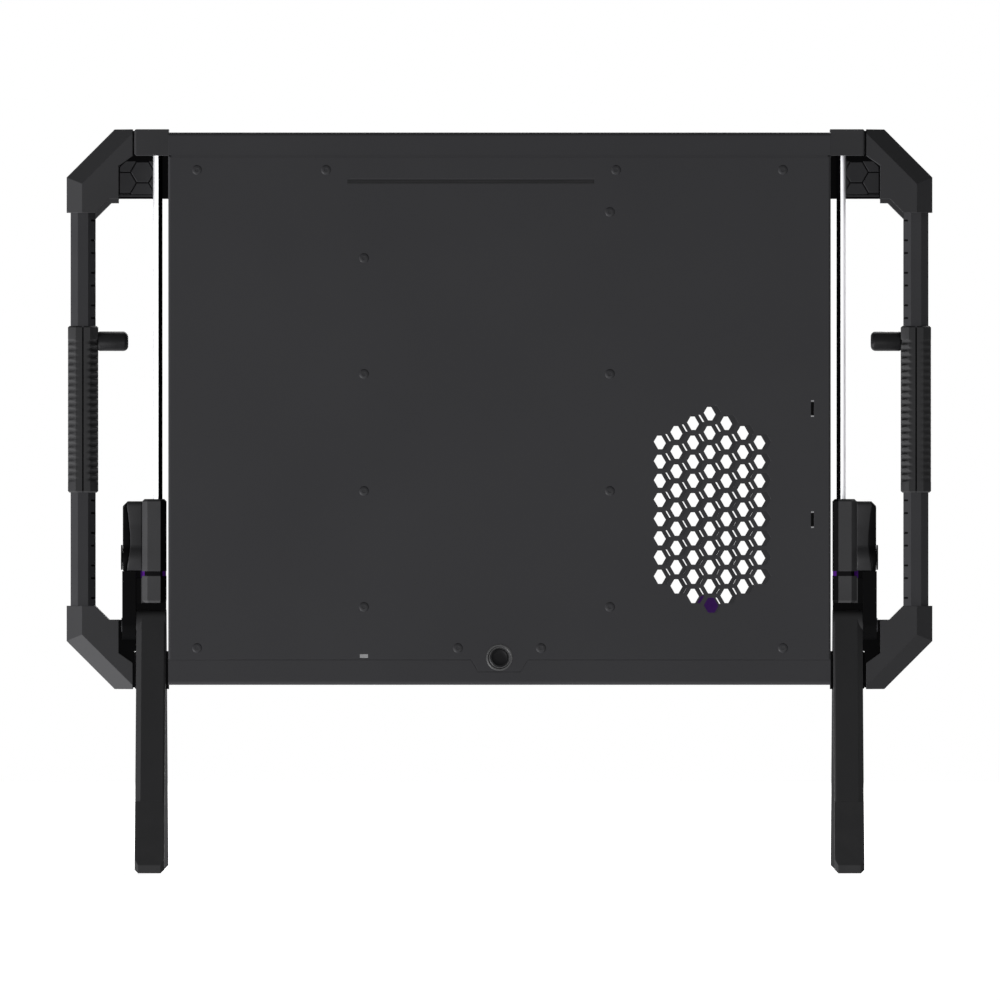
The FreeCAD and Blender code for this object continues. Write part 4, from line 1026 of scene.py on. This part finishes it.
# carriage trim: a pad beside the lever's stop and a violet tab beside the washer
trim = {
    "stop_pad": {
        "low": (-241.3, -5, 184), "high": (-237.3, 10, 195.4), "finish": "bracketNylon", "slot": "bracket_black",
    },
    "washer_tab": {
        "low": (-230, -5, 187.9), "high": (-228.85, 5, 192.78), "finish": "violetTab", "slot": "violet_washer",
    },
}
for side, sign in sides.items():
    for name, item in trim.items():
        build = addBox(bmesh.new(), item["low"], item["high"])
        piece = newPiece(f"{side}_{name}", build, item["finish"], sign < 0)
        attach(piece, f"{side}_carriage")
print("levers: done")


# corner gussets: hexagon tiles with grooves between them, and a lip along the lower edge
gusset = {
    "edge": 7.8, "groove": 0.7, "centre": (-240.7, 441.6), "proud": 0.5, "columns": range(4), "rows": range(-1, 3),
    "field": ((-243.4, 434.1), (-216.4, 434.1), (-216.4, 455.4), (-239.8, 455.4), (-243.4, 451.6)),
    "lip": (-243.8, -216.4, 432.5, 433.5), "bevel": 0.25, "cornerShare": 1.3, "face": 5,
    "gap": ((-235.1, -14, 458.9), (-232.4, 14, 460.6)),
}


def clipped(points, field):
    # the part of a convex outline inside a convex field that runs anticlockwise
    for (ax, az), (bx, bz) in zip(field, field[1:] + field[:1]):
        kept = []
        for (px, pz), (qx, qz) in zip(points, points[1:] + points[:1]):
            first = (bx - ax) * (pz - az) - (bz - az) * (px - ax)
            second = (bx - ax) * (qz - az) - (bz - az) * (qx - ax)
            if first >= 0:
                kept.append((px, pz))
            if first * second < 0:
                share = first / (first - second)
                kept.append((px + (qx - px) * share, pz + (qz - pz) * share))
        points = kept
        if len(points) < 3:
            return []
    return points


def addTile(build, outline, face):
    # a low tile on a wall that faces -Y, with a narrow bevel round its top
    middle = [sum(values) / len(outline) for values in zip(*outline)]
    rings = []
    for share, depth in ((1, 0), (1, gusset["proud"] - gusset["bevel"]), (None, gusset["proud"])):
        ring = []
        for x, z in outline:
            away = Vector((x - middle[0], z - middle[1]))
            length = away.length
            scale = share if share else max(0, length - gusset["bevel"] * gusset["cornerShare"]) / length
            ring.append(build.verts.new(
                Vector((middle[0] + away.x * scale, face - depth, middle[1] + away.y * scale)) * mm
            ))
        rings.append(ring)
    joinRings(build, rings)
    build.faces.new(rings[0])
    build.faces.new(rings[-1])


for side, sign in sides.items():
    build = bmesh.new()
    face = gusset["face"]
    edge = gusset["edge"]
    height = edge * math.sqrt(3)
    for column in gusset["columns"]:
        for row in gusset["rows"]:
            x = gusset["centre"][0] + 1.5 * edge * column
            z = gusset["centre"][1] + height * (row - (column % 2) / 2)
            reach = edge - gusset["groove"] / math.sqrt(3)
            hexagon = [
                (x + reach * math.cos(math.pi / 3 * n), z + reach * math.sin(math.pi / 3 * n)) for n in range(6)
            ]
            outline = clipped(hexagon, list(gusset["field"]))
            if outline:
                addTile(build, outline, face)
    x0, x1, z0, z1 = gusset["lip"]
    addTile(build, [(x0, z0), (x1, z0), (x1, z1), (x0, z1)], face)
    piece = newPiece(f"{side}_gusset_tiles", build, "gussetPlastic", sign < 0)
    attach(piece, "case")
    piece = newPiece(f"{side}_gap_strip", addBox(bmesh.new(), *gusset["gap"]), "bracketNylon", sign < 0)
    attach(piece, "case")
print("gussets: done")
